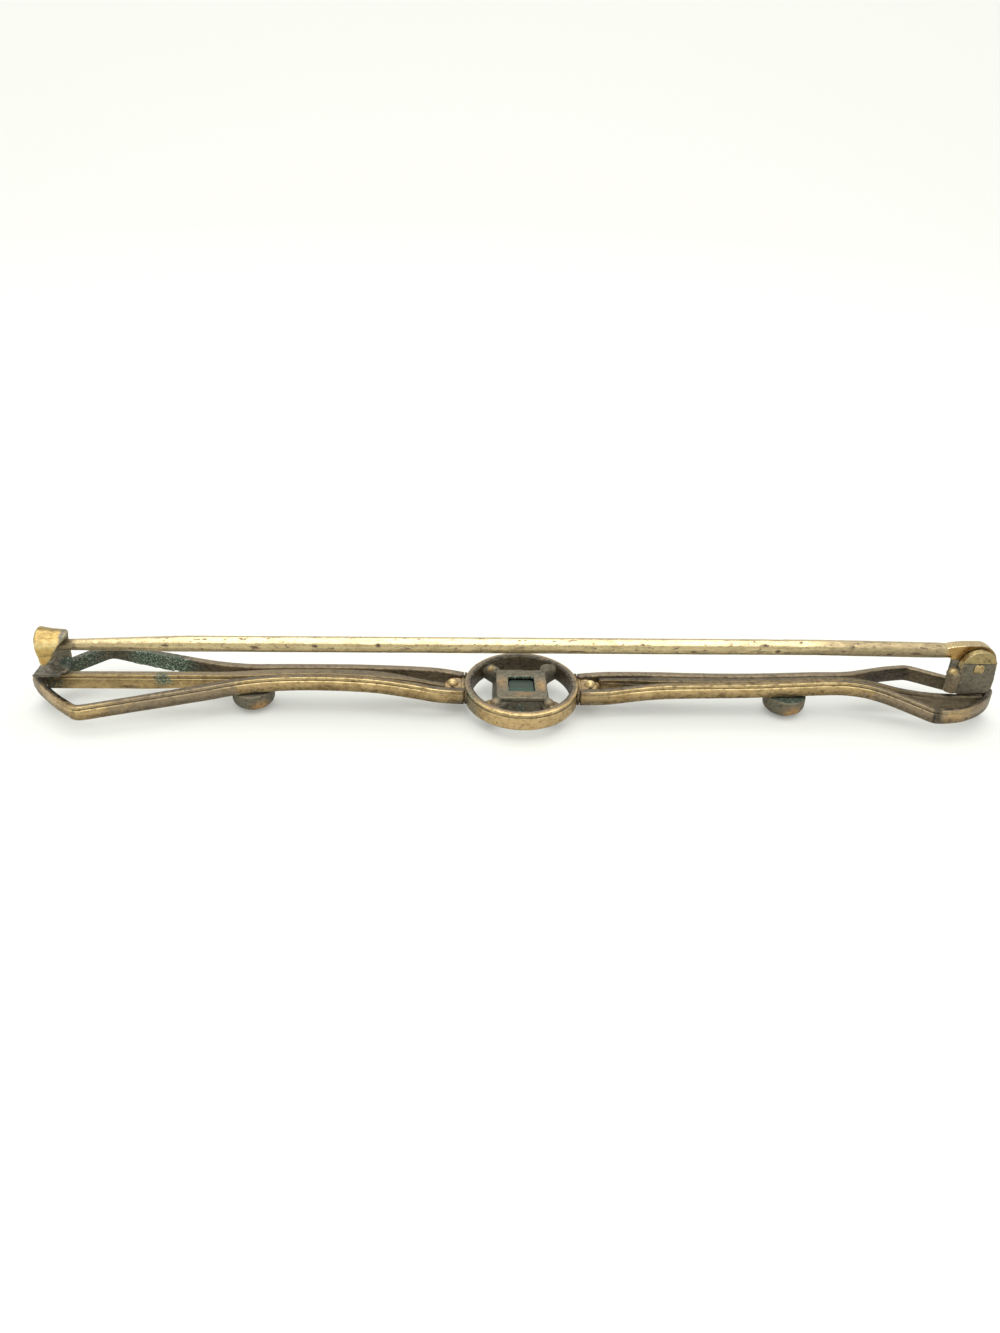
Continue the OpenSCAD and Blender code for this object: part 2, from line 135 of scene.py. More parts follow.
# Noise and meshes

# Large primes scatter the places of a lattice, and shifts and factors mix their bits
PLACE_PRIMES = (73856093, 19349663, 83492791)
SEED_PRIME = 40503
BIT_MIXES = ((15, 2246822519), (13, 3266489917))
LOW_32_BITS = 0xFFFFFFFF
LOW_16_BITS = 0xFFFF


def lattice(cell, seed):
    """A repeatable number from -1 to 1 for each whole-number place."""
    i, j, k = (cell * PLACE_PRIMES).T
    key = (i ^ j ^ k ^ seed * SEED_PRIME) & LOW_32_BITS
    for shift, factor in BIT_MIXES:
        key = (key ^ key >> shift) * factor & LOW_32_BITS
    return ((key ^ key >> 16) & LOW_16_BITS) * 2 / LOW_16_BITS - 1


def noise(points, feature, seed):
    """Smooth noise from -1 to 1, whose lumps are about feature mm across."""
    scaled = points / feature
    cell = np.floor(scaled).astype(np.int64)
    part = scaled - cell
    part = part * part * (3 - 2 * part)
    total = np.zeros(len(points))
    for corner in product((0, 1), repeat=3):
        weight = np.prod(np.where(np.array(corner) == 1, part, 1 - part), axis=1)
        total += weight * lattice(cell + np.array(corner), seed)
    return total


def ramp(values, low, high):
    """A smooth rise from 0 at low to 1 at high."""
    part = np.clip((values - low) / (high - low), 0, 1)
    return part * part * (3 - 2 * part)


def near(offsets, inner, outer):
    """1 within inner of zero on either side, and 0 from outer on."""
    return ramp(-np.abs(offsets), -outer, -inner)


def uneven(points, *waves, seed):
    """Low bumps in mm. Each wave is a depth and the size of its lumps, and takes a seed of its own."""
    return sum(depth * noise(points, size, seed + i) for i, (depth, size) in enumerate(waves))


def unit(vector):
    return vector / np.linalg.norm(vector)


def new_object(name, points, faces):
    mesh = bpy.data.meshes.new(name)
    mesh.from_pydata(np.asarray(points, float).tolist(), [], faces)
    return add_object(name, mesh)


def grid_faces(rings, around, closed=False):
    """Quads between rings of points, with flat caps unless the last ring meets the first."""
    faces = []
    for i in range(rings if closed else rings - 1):
        low, high = i * around, (i + 1) % rings * around
        for j in range(around):
            k = (j + 1) % around
            faces.append((low + j, low + k, high + k, high + j))
    if not closed:
        last = (rings - 1) * around
        faces.append(tuple(range(around - 1, -1, -1)))
        faces.append(tuple(last + j for j in range(around)))
    return faces


def turn_outward(made):
    """Points every face away from the inside of a closed mesh."""
    points = get_points(made.data)
    volume = 0
    for face in made.data.polygons:
        corners = points[list(face.vertices)]
        for b, c in zip(corners[1:], corners[2:]):
            volume += np.dot(corners[0], np.cross(b, c))
    if volume < 0:
        made.data.flip_normals()


def new_shell(points, faces):
    """A closed mesh to be worked on, with its faces outward."""
    made = new_object("work", points, faces)
    turn_outward(made)
    return made


def apply_modifiers(made):
    graph = bpy.context.evaluated_depsgraph_get()
    mesh = bpy.data.meshes.new_from_object(made.evaluated_get(graph))
    made.modifiers.clear()
    made.data = mesh


def join(parts):
    """One object from several, each still a closed shell."""
    points, faces, start = [], [], 0
    for part in parts:
        mesh = part.data
        points.append(get_points(mesh))
        faces += [tuple(start + v for v in face.vertices) for face in mesh.polygons]
        start += len(mesh.vertices)
        bpy.data.objects.remove(part)
    return new_object("work", np.concatenate(points), faces)


def fuse(made, voxel, smoothing):
    """One skin round all the shells of an object, softened as worn solder is."""
    skin = made.modifiers.new("skin", "REMESH")
    skin.mode = "VOXEL"
    skin.voxel_size = voxel
    soften = made.modifiers.new("soften", "SMOOTH")
    soften.factor = 0.5
    soften.iterations = smoothing
    apply_modifiers(made)
    return made


def cad_copy(node):
    """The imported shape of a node, in mm, to be worked further."""
    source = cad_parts[node].data
    points = get_points(source) / MM
    faces = [tuple(face.vertices) for face in source.polygons]
    made = new_object("work", points, faces)
    weld = made.modifiers.new("weld", "WELD")
    weld.merge_threshold = 0.002
    apply_modifiers(made)
    return made


def get_points(mesh, field="co"):
    values = np.zeros(len(mesh.vertices) * 3)
    mesh.vertices.foreach_get(field, values)
    return values.reshape(-1, 3)


get_normals = partial(get_points, field="normal")


def set_points(mesh, points):
    mesh.vertices.foreach_set("co", points.ravel())
    mesh.update()


def displace(made, depth):
    """Moves the surface in or out along its normals by depth(points), in mm."""
    mesh = made.data
    points = get_points(mesh)
    set_points(mesh, points + get_normals(mesh) * depth(points)[:, None])


def roughen(made, *waves, seed):
    displace(made, lambda points: uneven(points, *waves, seed=seed))


# Bends per mm: the most that counts, and where a ridge and a hollow start and are full
BEND_LIMIT = 12
RIDGE_BEND = (1.6, 5.5)
HOLLOW_BEND = (0.8, 4)


def bend_of(mesh):
    """How sharply the surface turns at each point, per mm: up on a ridge, down in a hollow.

    Each point's bend is the mean over its edges, then evened out with its neighbours' bends."""
    points, normals = get_points(mesh), get_normals(mesh)
    count = len(points)
    edges = np.zeros(len(mesh.edges) * 2, np.int64)
    mesh.edges.foreach_get("vertices", edges)
    degree = np.maximum(np.bincount(edges, minlength=count), 1)
    ends = edges.reshape(-1, 2).T
    bend = np.zeros(count)
    for start, end in (ends, ends[::-1]):
        run = points[end] - points[start]
        length = np.maximum((run * run).sum(1), 1e-6)
        bend += np.bincount(start, -2 * (run * normals[start]).sum(1) / length, count)
    bend = np.clip(bend / degree, -BEND_LIMIT, BEND_LIMIT)
    beside = sum(np.bincount(start, bend[end], count) for start, end in (ends, ends[::-1]))
    return (bend + beside / degree) / 2


def patch(points, centre, radius, core=0.1):
    """1 in the core of a soft-edged spot, 0 from its radius on; radius may differ by axis."""
    away = np.linalg.norm((points - np.array(centre)) / np.array(radius), axis=1)
    return ramp(-away, -1, -core)


# Layers of paint: shade is painted shade and bright is painted highlight, while tarnish and clean also
# hold painted shade and light
PAINTS = ("tarnish_and_painted_shade", "green", "clean_and_painted_light", "dirt", "warm", "shade", "bright", "ridge_cut")


def finish_piece(made, name, nodes, material, paint, body="brooch"):
    """Writes the wear, the paint and the painted light and shade of a shape into its mesh and makes it
    a piece.
    """
    mesh = made.data
    points = get_points(mesh)
    bend = bend_of(mesh)
    layers = {"ridge": ramp(bend, *RIDGE_BEND), "hollow": ramp(-bend, *HOLLOW_BEND)}
    layers.update({paint_name: np.zeros(len(points)) for paint_name in PAINTS})
    layers.update(paint(points, get_normals(mesh)))
    layers["ridge"] *= 1 - layers.pop("ridge_cut")
    # The bright layer is painted highlight, shown in the worn ridges' colour
    layers["ridge"] = np.maximum(layers["ridge"], layers.pop("bright"))
    for layer_name, values in layers.items():
        layer = mesh.attributes.new(layer_name, "FLOAT", "POINT")
        layer.data.foreach_set("value", np.clip(values, 0, 1).astype(np.float32))
    set_points(mesh, points * MM)
    mesh.polygons.foreach_set("use_smooth", [True] * len(mesh.polygons))
    mesh.materials.clear()
    mesh.materials.append(material)
    made.name = name
    mesh.name = name
    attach(made, body)
    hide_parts(*nodes)


# Materials

VERDIGRIS = ("#25322a", "#4f6653", "#bfcab4")
DEEP_SHADE = "#14110c"
METAL_SHARE = 0.9
# The two colours of a mix node and the mixed one, by their place among its sockets
MIX_A = 6
MIX_B = 7
MIXED = 2


def srgb(code):
    """A linear colour from a written one such as #a08050."""
    parts = [int(code[i:i + 2], 16) / 255 for i in (1, 3, 5)]
    linear = [c / 12.92 if c <= 0.04045 else ((c + 0.055) / 1.055) ** 2.4 for c in parts]
    return (*linear, 1)


class Graph:
    """Short forms for the nodes of a material."""

    def __init__(self, name):
        self.material = bpy.data.materials.new(name)
        self.material.use_nodes = True
        self.tree = self.material.node_tree
        self.shader = self.tree.nodes["Principled BSDF"]
        coords = self.new("TexCoord")
        scale = self.new("VectorMath")
        scale.operation = "SCALE"
        scale.inputs["Scale"].default_value = 1 / MM
        self.tree.links.new(coords.outputs["Object"], scale.inputs[0])
        self.mm = scale.outputs[0]

    def new(self, kind):
        return self.tree.nodes.new("ShaderNode" + kind)

    def feed(self, socket, value):
        if isinstance(value, bpy.types.NodeSocket):
            self.tree.links.new(value, socket)
        else:
            socket.default_value = value

    def stretched(self, factors):
        node = self.new("VectorMath")
        node.operation = "MULTIPLY"
        self.feed(node.inputs[0], self.mm)
        node.inputs[1].default_value = factors
        return node.outputs[0]

    def noise(self, scale, detail, roughness, coords, offset):
        node = self.new("TexNoise")
        node.noise_dimensions = "4D"
        self.feed(node.inputs["Vector"], coords)
        node.inputs["W"].default_value = offset
        node.inputs["Scale"].default_value = scale
        node.inputs["Detail"].default_value = detail
        node.inputs["Roughness"].default_value = roughness
        return node.outputs["Fac"]

    def math(self, operation, a, b):
        node = self.new("Math")
        node.operation = operation
        self.feed(node.inputs[0], a)
        self.feed(node.inputs[1], b)
        return node.outputs[0]

    plus = partialmethod(math, "ADD")
    minus = partialmethod(math, "SUBTRACT")
    times = partialmethod(math, "MULTIPLY")
    most = partialmethod(math, "MAXIMUM")

    def step(self, value, low, high, start=0, end=1):
        node = self.new("MapRange")
        node.interpolation_type = "SMOOTHSTEP"
        self.feed(node.inputs["Value"], value)
        for socket, limit in zip(node.inputs[1:5], (low, high, start, end)):
            socket.default_value = limit
        return node.outputs[0]

    def mix(self, factor, a, b):
        node = self.new("Mix")
        node.data_type = "RGBA"
        self.feed(node.inputs[0], factor)
        self.feed(node.inputs[MIX_A], a)
        self.feed(node.inputs[MIX_B], b)
        return node.outputs[MIXED]

    def blend(self, *shares):
        """The sum of masks, each times its share."""
        parts = (self.times(mask, share) for mask, share in shares)
        return reduce(self.plus, parts)

    def cover(self, mask, code):
        self.colour = self.mix(mask, self.colour, srgb(code))

    def layer(self, name):
        node = self.new("Attribute")
        node.attribute_name = name
        return node.outputs["Fac"]

    def ragged(self, layer, edge_noise, spread):
        """A painted layer whose edge is broken up by noise."""
        wander = self.times(self.minus(edge_noise, 0.5), spread)
        return self.step(self.plus(self.layer(layer), wander), 0.35, 0.65)

    def bump(self, height, strength, distance):
        node = self.new("Bump")
        node.inputs["Strength"].default_value = strength
        node.inputs["Distance"].default_value = distance * MM
        self.feed(node.inputs["Height"], height)
        self.feed(self.shader.inputs["Normal"], node.outputs[0])


def aged_metal(
    name, clean_and_painted_light, toned, tarnish_and_painted_shade, grime, worn_and_painted_highlight,
    rough=(0.3, 0.46), stretch=(1, 1, 1), speck_at=0.66, seed=0, hollows=0.6,
    tone_at=0.5, warm="#a3845f", grain=0.5,
):
    """Old gilt metal: mottled tone, clean metal and painted light, tarnish and painted shade, specks,
    dirt in hollows, worn ridges and painted highlights, verdigris and a layer of painted shade.

    Noises are in lumps per mm. The weights and limits of the masks were set one by one."""
    g = Graph(name)
    along = g.stretched(stretch)
    drawn = g.stretched((0.12, 1, 1))
    broad = g.noise(0.9, 3, 0.5, along, seed)
    middle = g.noise(3.2, 5, 0.62, along, seed + 3)
    fine = g.noise(11, 4, 0.6, g.mm, seed + 7)
    speckle = g.noise(6.5, 2, 0.5, along, seed + 11)
    streaks = g.noise(5, 3, 0.6, drawn, seed + 15)
    lumps = g.noise(7, 3, 0.6, g.mm, seed + 19)
    grains = g.noise(6.5, 6, 0.75, g.stretched((0.6, 1, 1)), seed + 23)

    tone = g.blend((broad, 0.4), (middle, 0.35), (streaks, 0.25))
    g.colour = g.mix(g.step(tone, tone_at - 0.12, tone_at + 0.1), srgb(toned), srgb(clean_and_painted_light))
    # The clean layer holds clean metal and also painted light: the ring's lit front, highlights,
    # glints and the stone's reflection
    g.cover(g.ragged("clean_and_painted_light", middle, 0.8), clean_and_painted_light)
    # The tarnish layer holds real tarnish and also painted shade: darker tops, the ring's inner wall
    # and the catch's wall behind the stem
    tarnish_and_painted_shade_mask = g.ragged("tarnish_and_painted_shade", middle, 1.1)
    tarnish_and_painted_shade_colour = g.mix(g.step(fine, 0.35, 0.68, 0, 0.5), srgb(tarnish_and_painted_shade), srgb(toned))
    g.colour = g.mix(g.times(tarnish_and_painted_shade_mask, 0.92), g.colour, tarnish_and_painted_shade_colour)
    g.cover(g.times(g.layer("warm"), g.step(middle, 0.3, 0.55, 0.35, 1)), warm)

    bare = g.minus(1, g.times(tarnish_and_painted_shade_mask, 0.7))
    # Worn ridges and the painted highlights merged into the ridge layer take the pale worn colour
    ridge_mask = g.times(g.layer("ridge"), g.step(middle, 0.34, 0.56, 0.15, 0.85))
    g.cover(g.times(ridge_mask, bare), worn_and_painted_highlight)
    g.cover(g.times(g.step(grains, 0.5, 0.6), grain), grime)
    specks = g.step(speckle, speck_at, speck_at + 0.05)
    g.cover(g.times(specks, 0.75), grime)
    dirt_mask = g.most(g.times(g.layer("hollow"), hollows), g.ragged("dirt", fine, 0.7))
    g.cover(dirt_mask, grime)
    green_mask = g.ragged("green", lumps, 1.3)
    dark_green, mid_green, pale_green = (srgb(code) for code in VERDIGRIS)
    green = g.mix(g.step(fine, 0.4, 0.54), dark_green, mid_green)
    green = g.mix(g.step(fine, 0.56, 0.64), green, pale_green)
    g.colour = g.mix(g.times(green_mask, 0.95), g.colour, green)
    g.cover(g.times(g.layer("shade"), g.step(grains, 0.4, 0.6, 0.75, 1.2)), DEEP_SHADE)

    dull = g.most(g.most(dirt_mask, specks), green_mask)
    dull = g.most(dull, g.times(tarnish_and_painted_shade_mask, 0.45))
    bright = g.minus(1, g.times(dull, 0.8))
    g.feed(g.shader.inputs["Base Color"], g.colour)
    g.feed(g.shader.inputs["Metallic"], g.times(bright, METAL_SHARE))
    polish = g.step(tone, 0.38, 0.62, rough[1], rough[0])
    g.feed(g.shader.inputs["Roughness"], g.plus(polish, g.times(dull, 0.3)))
    height = g.blend(
        (fine, 0.5), (middle, 0.6), (streaks, 0.25), (specks, -0.35), (grains, -0.9),
        (g.times(green_mask, lumps), 1.2),
    )
    g.bump(height, 0.5, 0.02)
    return g.material


# Strips: rows of x, y and height of the back edge. A fourth number is the bend's share of the
# way to the next rows, or SHARP or POINTED; without it the row has a wide bend, as BENT

STRIP_T = 0.5
KITE_T = 0.36
FREE_KITE_T = KITE_T + 0.1
# The kites open between these distances from the middle of the brooch
KITE_OPENS = (19, 23)
STRIP_D = 0.98
SPINE_D = STRIP_D - 0.08
ARRIS = 0.08
TOP_ARRIS = 0.07
# The drawn line: its depth, and how far below the back edge its parts lie
LINE_IN = 0.09
EDGE_LOW = 0.05
LINE_TOP = 0.18
LINE_FLOOR = (0.22, 0.25)
LINE_MID = 0.235
LINE_FOOT = 0.3
SEAM = 0.02
# Kinds of bend. A sharp one takes SHARP_RUN mm on each side
BENT = 0.47
SHARP = 0.09
SHARP_RUN = 0.4
POINTED = 0

# The bars are alike on both sides as far as the kites
LEFT_BAR_ROWS = [
    (-3.62, 0.95, 1.88), (-5.1, 1.13, 2.05), (-6.5, 0.97, 2.24), (-8.8, 0.72, 2.46),
    (-11.3, 0.62, 2.55), (-14.6, 0.6, 2.51), (-17.2, 0.8, 2.34),
]
LEFT_KITE_ROWS = [
    (-19.8, 1.52, 2.18), (-26.16, 3.14, 2.42, SHARP), (-28, 1.72, 2.2, 0.3),
    (-29.8, 0.05, 1.94, POINTED), (-29.42, -0.48, 1.91, 0.3), (-28.02, -1.93, 1.84),
    (-26.4, -3.2, 1.77, SHARP), (-19.8, -1.56, 2.16),
]
RIGHT_BAR_ROWS = [
    (3.62, 0.92, 1.88), (5.3, 1.03, 1.99), (6.7, 0.86, 2.12), (8.6, 0.66, 2.24),
    (11.5, 0.56, 2.26), (15, 0.51, 2.32), (18.4, 0.46, 2.52),
]
RIGHT_KITE_ROWS = [
    (20.6, 0.45, 2.57), (22, 0.92, 2.52), (23.6, 1.75, 2.25), (25.42, 2.44, 2, SHARP),
    (29.9, 0, 1.9, 0.3), (29.5, -0.74, 1.91), (28.87, -1.42, 1.92), (28, -2.05, 1.93),
    (26.8, -2.6, 1.94), (25.34, -2.74, 1.95, SHARP), (22.4, -1, 2.47), (20.6, -0.46, 2.57),
]
# Middle strips: x, y, height of the back edge and thickness
SPINE_T = 0.42
LEFT_SPINE_ROWS = [
    (-4.75, -0.42, 1.92, SPINE_T), (-6.5, -0.3, 2.18, SPINE_T), (-8.6, -0.06, 2.4, 0.8),
    (-11.3, 0, 2.51, 0.7), (-14.6, 0, 2.47, 0.66), (-16.6, 0, 2.32, 0.78), (-18.2, 0, 2.22, 0.6),
    (-20, 0, 2.21, 0.58), (-27.2, 0, 2.16, 0.58), (-29.05, 0, 2.12, 0.5),
]
RIGHT_SPINE_ROWS = [
    (4.9, 0.42, 1.94, SPINE_T), (6.6, 0.28, 2.06, SPINE_T), (8.6, 0.06, 2.19, 0.68),
    (11.5, 0, 2.22, 0.58), (15, 0, 2.28, 0.48), (18.4, 0, 2.48, SPINE_T), (20.6, 0, 2.52, SPINE_T),
    (22.2, -0.15, 2.34, SPINE_T), (24, -0.36, 1.92, SPINE_T), (26.2, -0.66, 1.75, SPINE_T),
    (29.1, -0.66, 1.74, SPINE_T),
]
PATH_STEP = 0.13
BEND_STEPS = 12


def bent_path(rows):
    """Straight runs joined by parabolas at the rows, as points close together."""
    rows = [np.array(row, float) for row in rows]
    corners = [rows[0]]
    for before, row, after in zip(rows, rows[1:], rows[2:]):
        reach = row[3]
        if reach == POINTED:
            corners.append(row)
            continue
        back, ahead = before - row, after - row
        start, end = row + back * reach, row + ahead * reach
        if reach == SHARP:
            start = row + back * SHARP_RUN / np.linalg.norm(back[:3])
            end = row + ahead * SHARP_RUN / np.linalg.norm(ahead[:3])
        for t in np.arange(BEND_STEPS + 1) / BEND_STEPS:
            corners.append(start * (1 - t) ** 2 + row * 2 * t * (1 - t) + end * t * t)
    corners.append(rows[-1])
    path = [corners[0]]
    for a, b in zip(corners, corners[1:]):
        parts = max(1, round(np.linalg.norm((b - a)[:3]) / PATH_STEP))
        path += [a + (b - a) * k / parts for k in range(1, parts + 1)]
    return path


def rounded(points):
    """Cuts the corners of a closed outline twice, so that its arrises are worn round."""
    for _ in range(2):
        after = np.roll(points, -1, axis=0)
        cut = np.empty((2 * len(points), 2))
        cut[0::2] = points * 0.75 + after * 0.25
        cut[1::2] = points * 0.25 + after * 0.75
        points = cut
    return points


def section_side(t, line, depth):
    """One side of a strip's section, from the back edge down: across and down."""
    half = t / 2
    return [
        (half - TOP_ARRIS, 0), (half - line / 4, -EDGE_LOW), (half - line / 4, -LINE_TOP),
        (half - line, -LINE_FLOOR[0]), (half - line, -LINE_FLOOR[1]), (half, -LINE_FOOT),
        (half, -depth / 2), (half, -depth + ARRIS), (half - ARRIS, -depth),
    ]


# The drawn line is worn to its least share of depth near the ring and next to the tips
LINE_LEAST = 0.2


def line_left(place):
    x, y = place[:2]
    left = ramp(abs(x), 4.5, 7.5)
    if y < 0:
        left *= 1 - ramp(-x, 26.4, 26.9) - ramp(x, 25.3, 25.8)
    return LINE_LEAST + (1 - LINE_LEAST) * left


def sweep_strip(path, thick, right_line, left_line, deep, seed, crust=None):
    """A moulded strip along a path, its section kept upright and mitred at bends.

    Gives the strip, and for each point how far it lies below the back edge and across."""
    rings, below, across = [], [], []
    last = len(path) - 1
    for i, place in enumerate(path):
        before = path[max(i, 1)][:2] - path[max(i, 1) - 1][:2]
        after = path[min(i, last - 1) + 1][:2] - path[min(i, last - 1)][:2]
        before, after = unit(before), unit(after)
        along = unit(before + after)
        right = np.array([along[1], -along[0], 0])
        mitre = 1 / max(along @ after, 0.5)
        t, depth = thick(place), deep(place)
        lined = line_left(place)
        outline = section_side(t, right_line * lined, depth)
        outline += [(-x, y) for x, y in reversed(section_side(t, left_line * lined, depth))]
        outline = rounded(np.array(outline))
        ring = place[:3] + outline[:, :1] * right * mitre
        ring[:, 2] += outline[:, 1]
        rings.append(ring)
        below.append(-outline[:, 1])
        across.append(outline[:, 0] / t)
    around = len(rings[0])
    made = new_shell(np.concatenate(rings), grid_faces(len(rings), around))
    roughen(made, (0.008, 2.2), (0.005, 0.45), seed=seed)
    if crust:
        displace(made, crust)
    return made, np.concatenate(below), np.concatenate(across)


def outline_thickness(place):
    opened = np.interp(abs(place[0]), KITE_OPENS, [0, 1])
    free = np.interp(place[1], [0, 1.5], [KITE_T, FREE_KITE_T])
    return STRIP_T * (1 - opened) + free * opened


def add_outline(name, node, bar_rows, kite_rows, outside, material, paint, seed, crust=None):
    """A bar's outer strip: out along its back, round the kite, and home along its front."""
    front_rows = [(x, -y, z) for x, y, z in reversed(bar_rows)]
    rows = [(*row, BENT)[:4] for row in (*bar_rows, *kite_rows, *front_rows)]
    lines = (LINE_IN, 0) if outside > 0 else (0, LINE_IN)
    made, below, across = sweep_strip(
        bent_path(rows), outline_thickness, *lines, lambda place: STRIP_D, seed, crust
    )
    layers = partial(paint, below=below, outer=across * outside)
    finish_piece(made, name, [node], material, layers)


def add_spine(name, node, rows, end_depth, material, paint, seed):
    def deep(place):
        return np.interp(abs(place[0]), KITE_OPENS, [SPINE_D, end_depth])

    path = bent_path([(x, y, z, BENT, t) for x, y, z, t in rows])
    made, below, _ = sweep_strip(
        path, lambda place: place[4] - 2 * SEAM, LINE_IN, LINE_IN, deep, seed
    )
    finish_piece(made, name, [node], material, partial(paint, below=below))


# Ring and setting

RING_R = 3.566
RING_WALL = 0.49
RING_H = 1.14
FACE_Z = 0.62
RING_LEAN = radians(2)
RING_STEPS = 220
RING_LINE_TOP = 0.17


def leaning(points):
    """Turns the ring and its setting up at the back, about the ring's front edge."""
    y, z = points[:, 1] + RING_R, points[:, 2] - FACE_Z
    ahead = y * cos(RING_LEAN) - z * sin(RING_LEAN) - RING_R
    up = y * sin(RING_LEAN) + z * cos(RING_LEAN) + FACE_Z
    return np.stack([points[:, 0], ahead, up], 1)


# The profile of a body without a bore ends this close to its axis
AXIS_R = 0.001


def lathe(profile, steps, closed=True):
    """A body turned about Z from a profile of radius and height."""
    turns = np.arange(steps) * 2 * pi / steps
    points = [(r * cos(a), r * sin(a), z) for a in turns for r, z in profile]
    around = len(profile)
    faces = grid_faces(steps, around, closed=True)
    if not closed:
        faces = [f for f in faces if f[0] % around != around - 1]
        faces.append(tuple(i * around for i in range(steps)))
        faces.append(tuple(i * around + around - 1 for i in reversed(range(steps))))
    return new_shell(points, faces)


GRAIN_RINGS = 17
GRAIN_AROUND = 24
POLE_R = 0.02


def ball(centre, radius, stretch):
    """A small closed grain of metal."""
    turns = np.linspace(0, pi, GRAIN_RINGS)
    profile = [(max(POLE_R, sin(a)), -cos(a)) for a in turns]
    made = lathe(profile, GRAIN_AROUND, closed=False)
    set_points(made.data, get_points(made.data) * radius * np.array(stretch) + np.array(centre))
    return made


def add_ring(material, paint):
    outer, inner = RING_R, RING_R - RING_WALL
    profile = np.array([
        (inner, 0.06), (inner + 0.06, 0), (outer - ARRIS, 0), (outer, ARRIS), (outer, 0.45),
        (outer, RING_H - LINE_FOOT), (outer - LINE_IN, RING_H - LINE_FLOOR[1]),
        (outer - LINE_IN, RING_H - LINE_FLOOR[0]), (outer - LINE_IN / 4, RING_H - RING_LINE_TOP),
        (outer - LINE_IN / 4, RING_H - EDGE_LOW), (outer - ARRIS, RING_H),
        (inner + 0.06, RING_H), (inner, RING_H - 0.06), (inner, 0.55),
    ])
    made = lathe(rounded(profile), RING_STEPS)
    set_points(made.data, leaning(get_points(made.data) + np.array([0, 0, FACE_Z])))
    roughen(made, (0.01, 1.6), (0.006, 0.4), seed=21)
    finish_piece(made, "ring_band", ["ring"], material, paint)


# Lumps of metal on the claws: centre, radius, and how far each is stretched
CLAW_GRAINS = [
    ((-1.84, 1.86, 1.62), 0.38, (1, 1, 0.9)), ((-2.12, 2.02, 1.46), 0.3, (1, 1, 1)),
    ((1.7, 1.9, 1.68), 0.4, (1.1, 1.1, 0.85)), ((2.04, 2.1, 1.62), 0.32, (1.1, 1.1, 0.9)),
    ((-1.84, -1.58, 1.16), 0.5, (1.2, 1, 0.55)), ((-2.14, -1.8, 1.12), 0.4, (1.1, 1, 0.6)),
    ((1.76, -1.62, 1.16), 0.5, (1.2, 1, 0.55)), ((2.1, -1.9, 1.12), 0.36, (1.1, 1, 0.6)),
]


def add_setting(material, paint):
    grains = [ball(*grain) for grain in CLAW_GRAINS]
    made = fuse(join([cad_copy("setting"), *grains]), voxel=0.042, smoothing=11)
    roughen(made, (0.022, 0.7), (0.01, 0.25), seed=31)
    finish_piece(made, "setting_metal", ["setting"], material, paint)


def add_stone(material, paint):
    made = cad_copy("stone")
    bevel = made.modifiers.new("polish", "BEVEL")
    bevel.width = 0.012
    bevel.segments = 2
    bevel.limit_method = "ANGLE"
    bevel.angle_limit = radians(12)
    divide = made.modifiers.new("divide", "SUBSURF")
    divide.subdivision_type = "SIMPLE"
    divide.levels = 3
    apply_modifiers(made)
    finish_piece(made, "stone_cut", ["stone"], material, paint)
    made.data.polygons.foreach_set("use_smooth", [False] * len(made.data.polygons))


# Studs, necks, catch and hinge

STUD_R = 1.3
STUD_DOME_H = 0.76
# The dome starts from a small flat, and the seat below the bar stands a little proud
STUD_FLAT = 0.2
SEAT_R = 0.6
SEAT_RISE = 0.06
STUD_AROUND = 110


def add_stud(name, node, x, top, material, paint, seed):
    rim = top - SEAT_RISE
    dome = [
        (STUD_FLAT + (STUD_R - STUD_FLAT) * sin(a), STUD_DOME_H * (1 - cos(a)))
        for a in np.linspace(0, pi / 2, 14)
    ]
    profile = [
        (AXIS_R, 0), (0.1, 0), *dome, (STUD_R, rim - 0.12), (STUD_R, rim - 0.06),
        (STUD_R - 0.02, rim - 0.02), *[(r, rim) for r in (STUD_R - 0.06, 1.15, 1, 0.85, 0.7, SEAT_R)],
        (SEAT_R, top), (AXIS_R, top),
    ]
    made = lathe(profile, STUD_AROUND, closed=False)
    set_points(made.data, get_points(made.data) + np.array([x, 0, 0]))

    def dents(points):
        return ramp(points[:, 2], 0.02, 0.2) * uneven(points, (0.018, 0.5), (0.012, 0.2), seed=seed)

    displace(made, dents)
    finish_piece(made, name, [node], material, paint)


# A block of solder fills the joint between the ring and the strips
JOINT_X = 3.56
JOINT_HALF_W = 0.16
JOINT_HALF_Y = 1
JOINT_LOW = 1.05
JOINT_HIGH = 1.74


def add_neck(name, node, side, material, paint):
    # Solder has run from the pellet to the end of the middle strip, and along the joint
    runs = [
        ball((side * 4.55, 0, 1.47), 0.36, (1, 1.4, 0.95)),
        ball((side * 4.76, side * 0.18, 1.5), 0.26, (0.9, 1.6, 1)),
        ball((side * 4.1, 0.64, 1.46), 0.3, (1.9, 0.7, 0.9)),
    ]
    joint = block(
        (side * JOINT_X - JOINT_HALF_W, -JOINT_HALF_Y, JOINT_LOW),
        (side * JOINT_X + JOINT_HALF_W, JOINT_HALF_Y, JOINT_HIGH),
    )
    made = fuse(join([cad_copy(node), *runs, joint]), voxel=0.03, smoothing=6)
    roughen(made, (0.012, 0.3), seed=41)
    finish_piece(made, name, [node], material, paint)


SHEET_T = 0.24
HOOK_R = 0.86
HOOK_Z = 4.14
FOOT_Z = 2.32
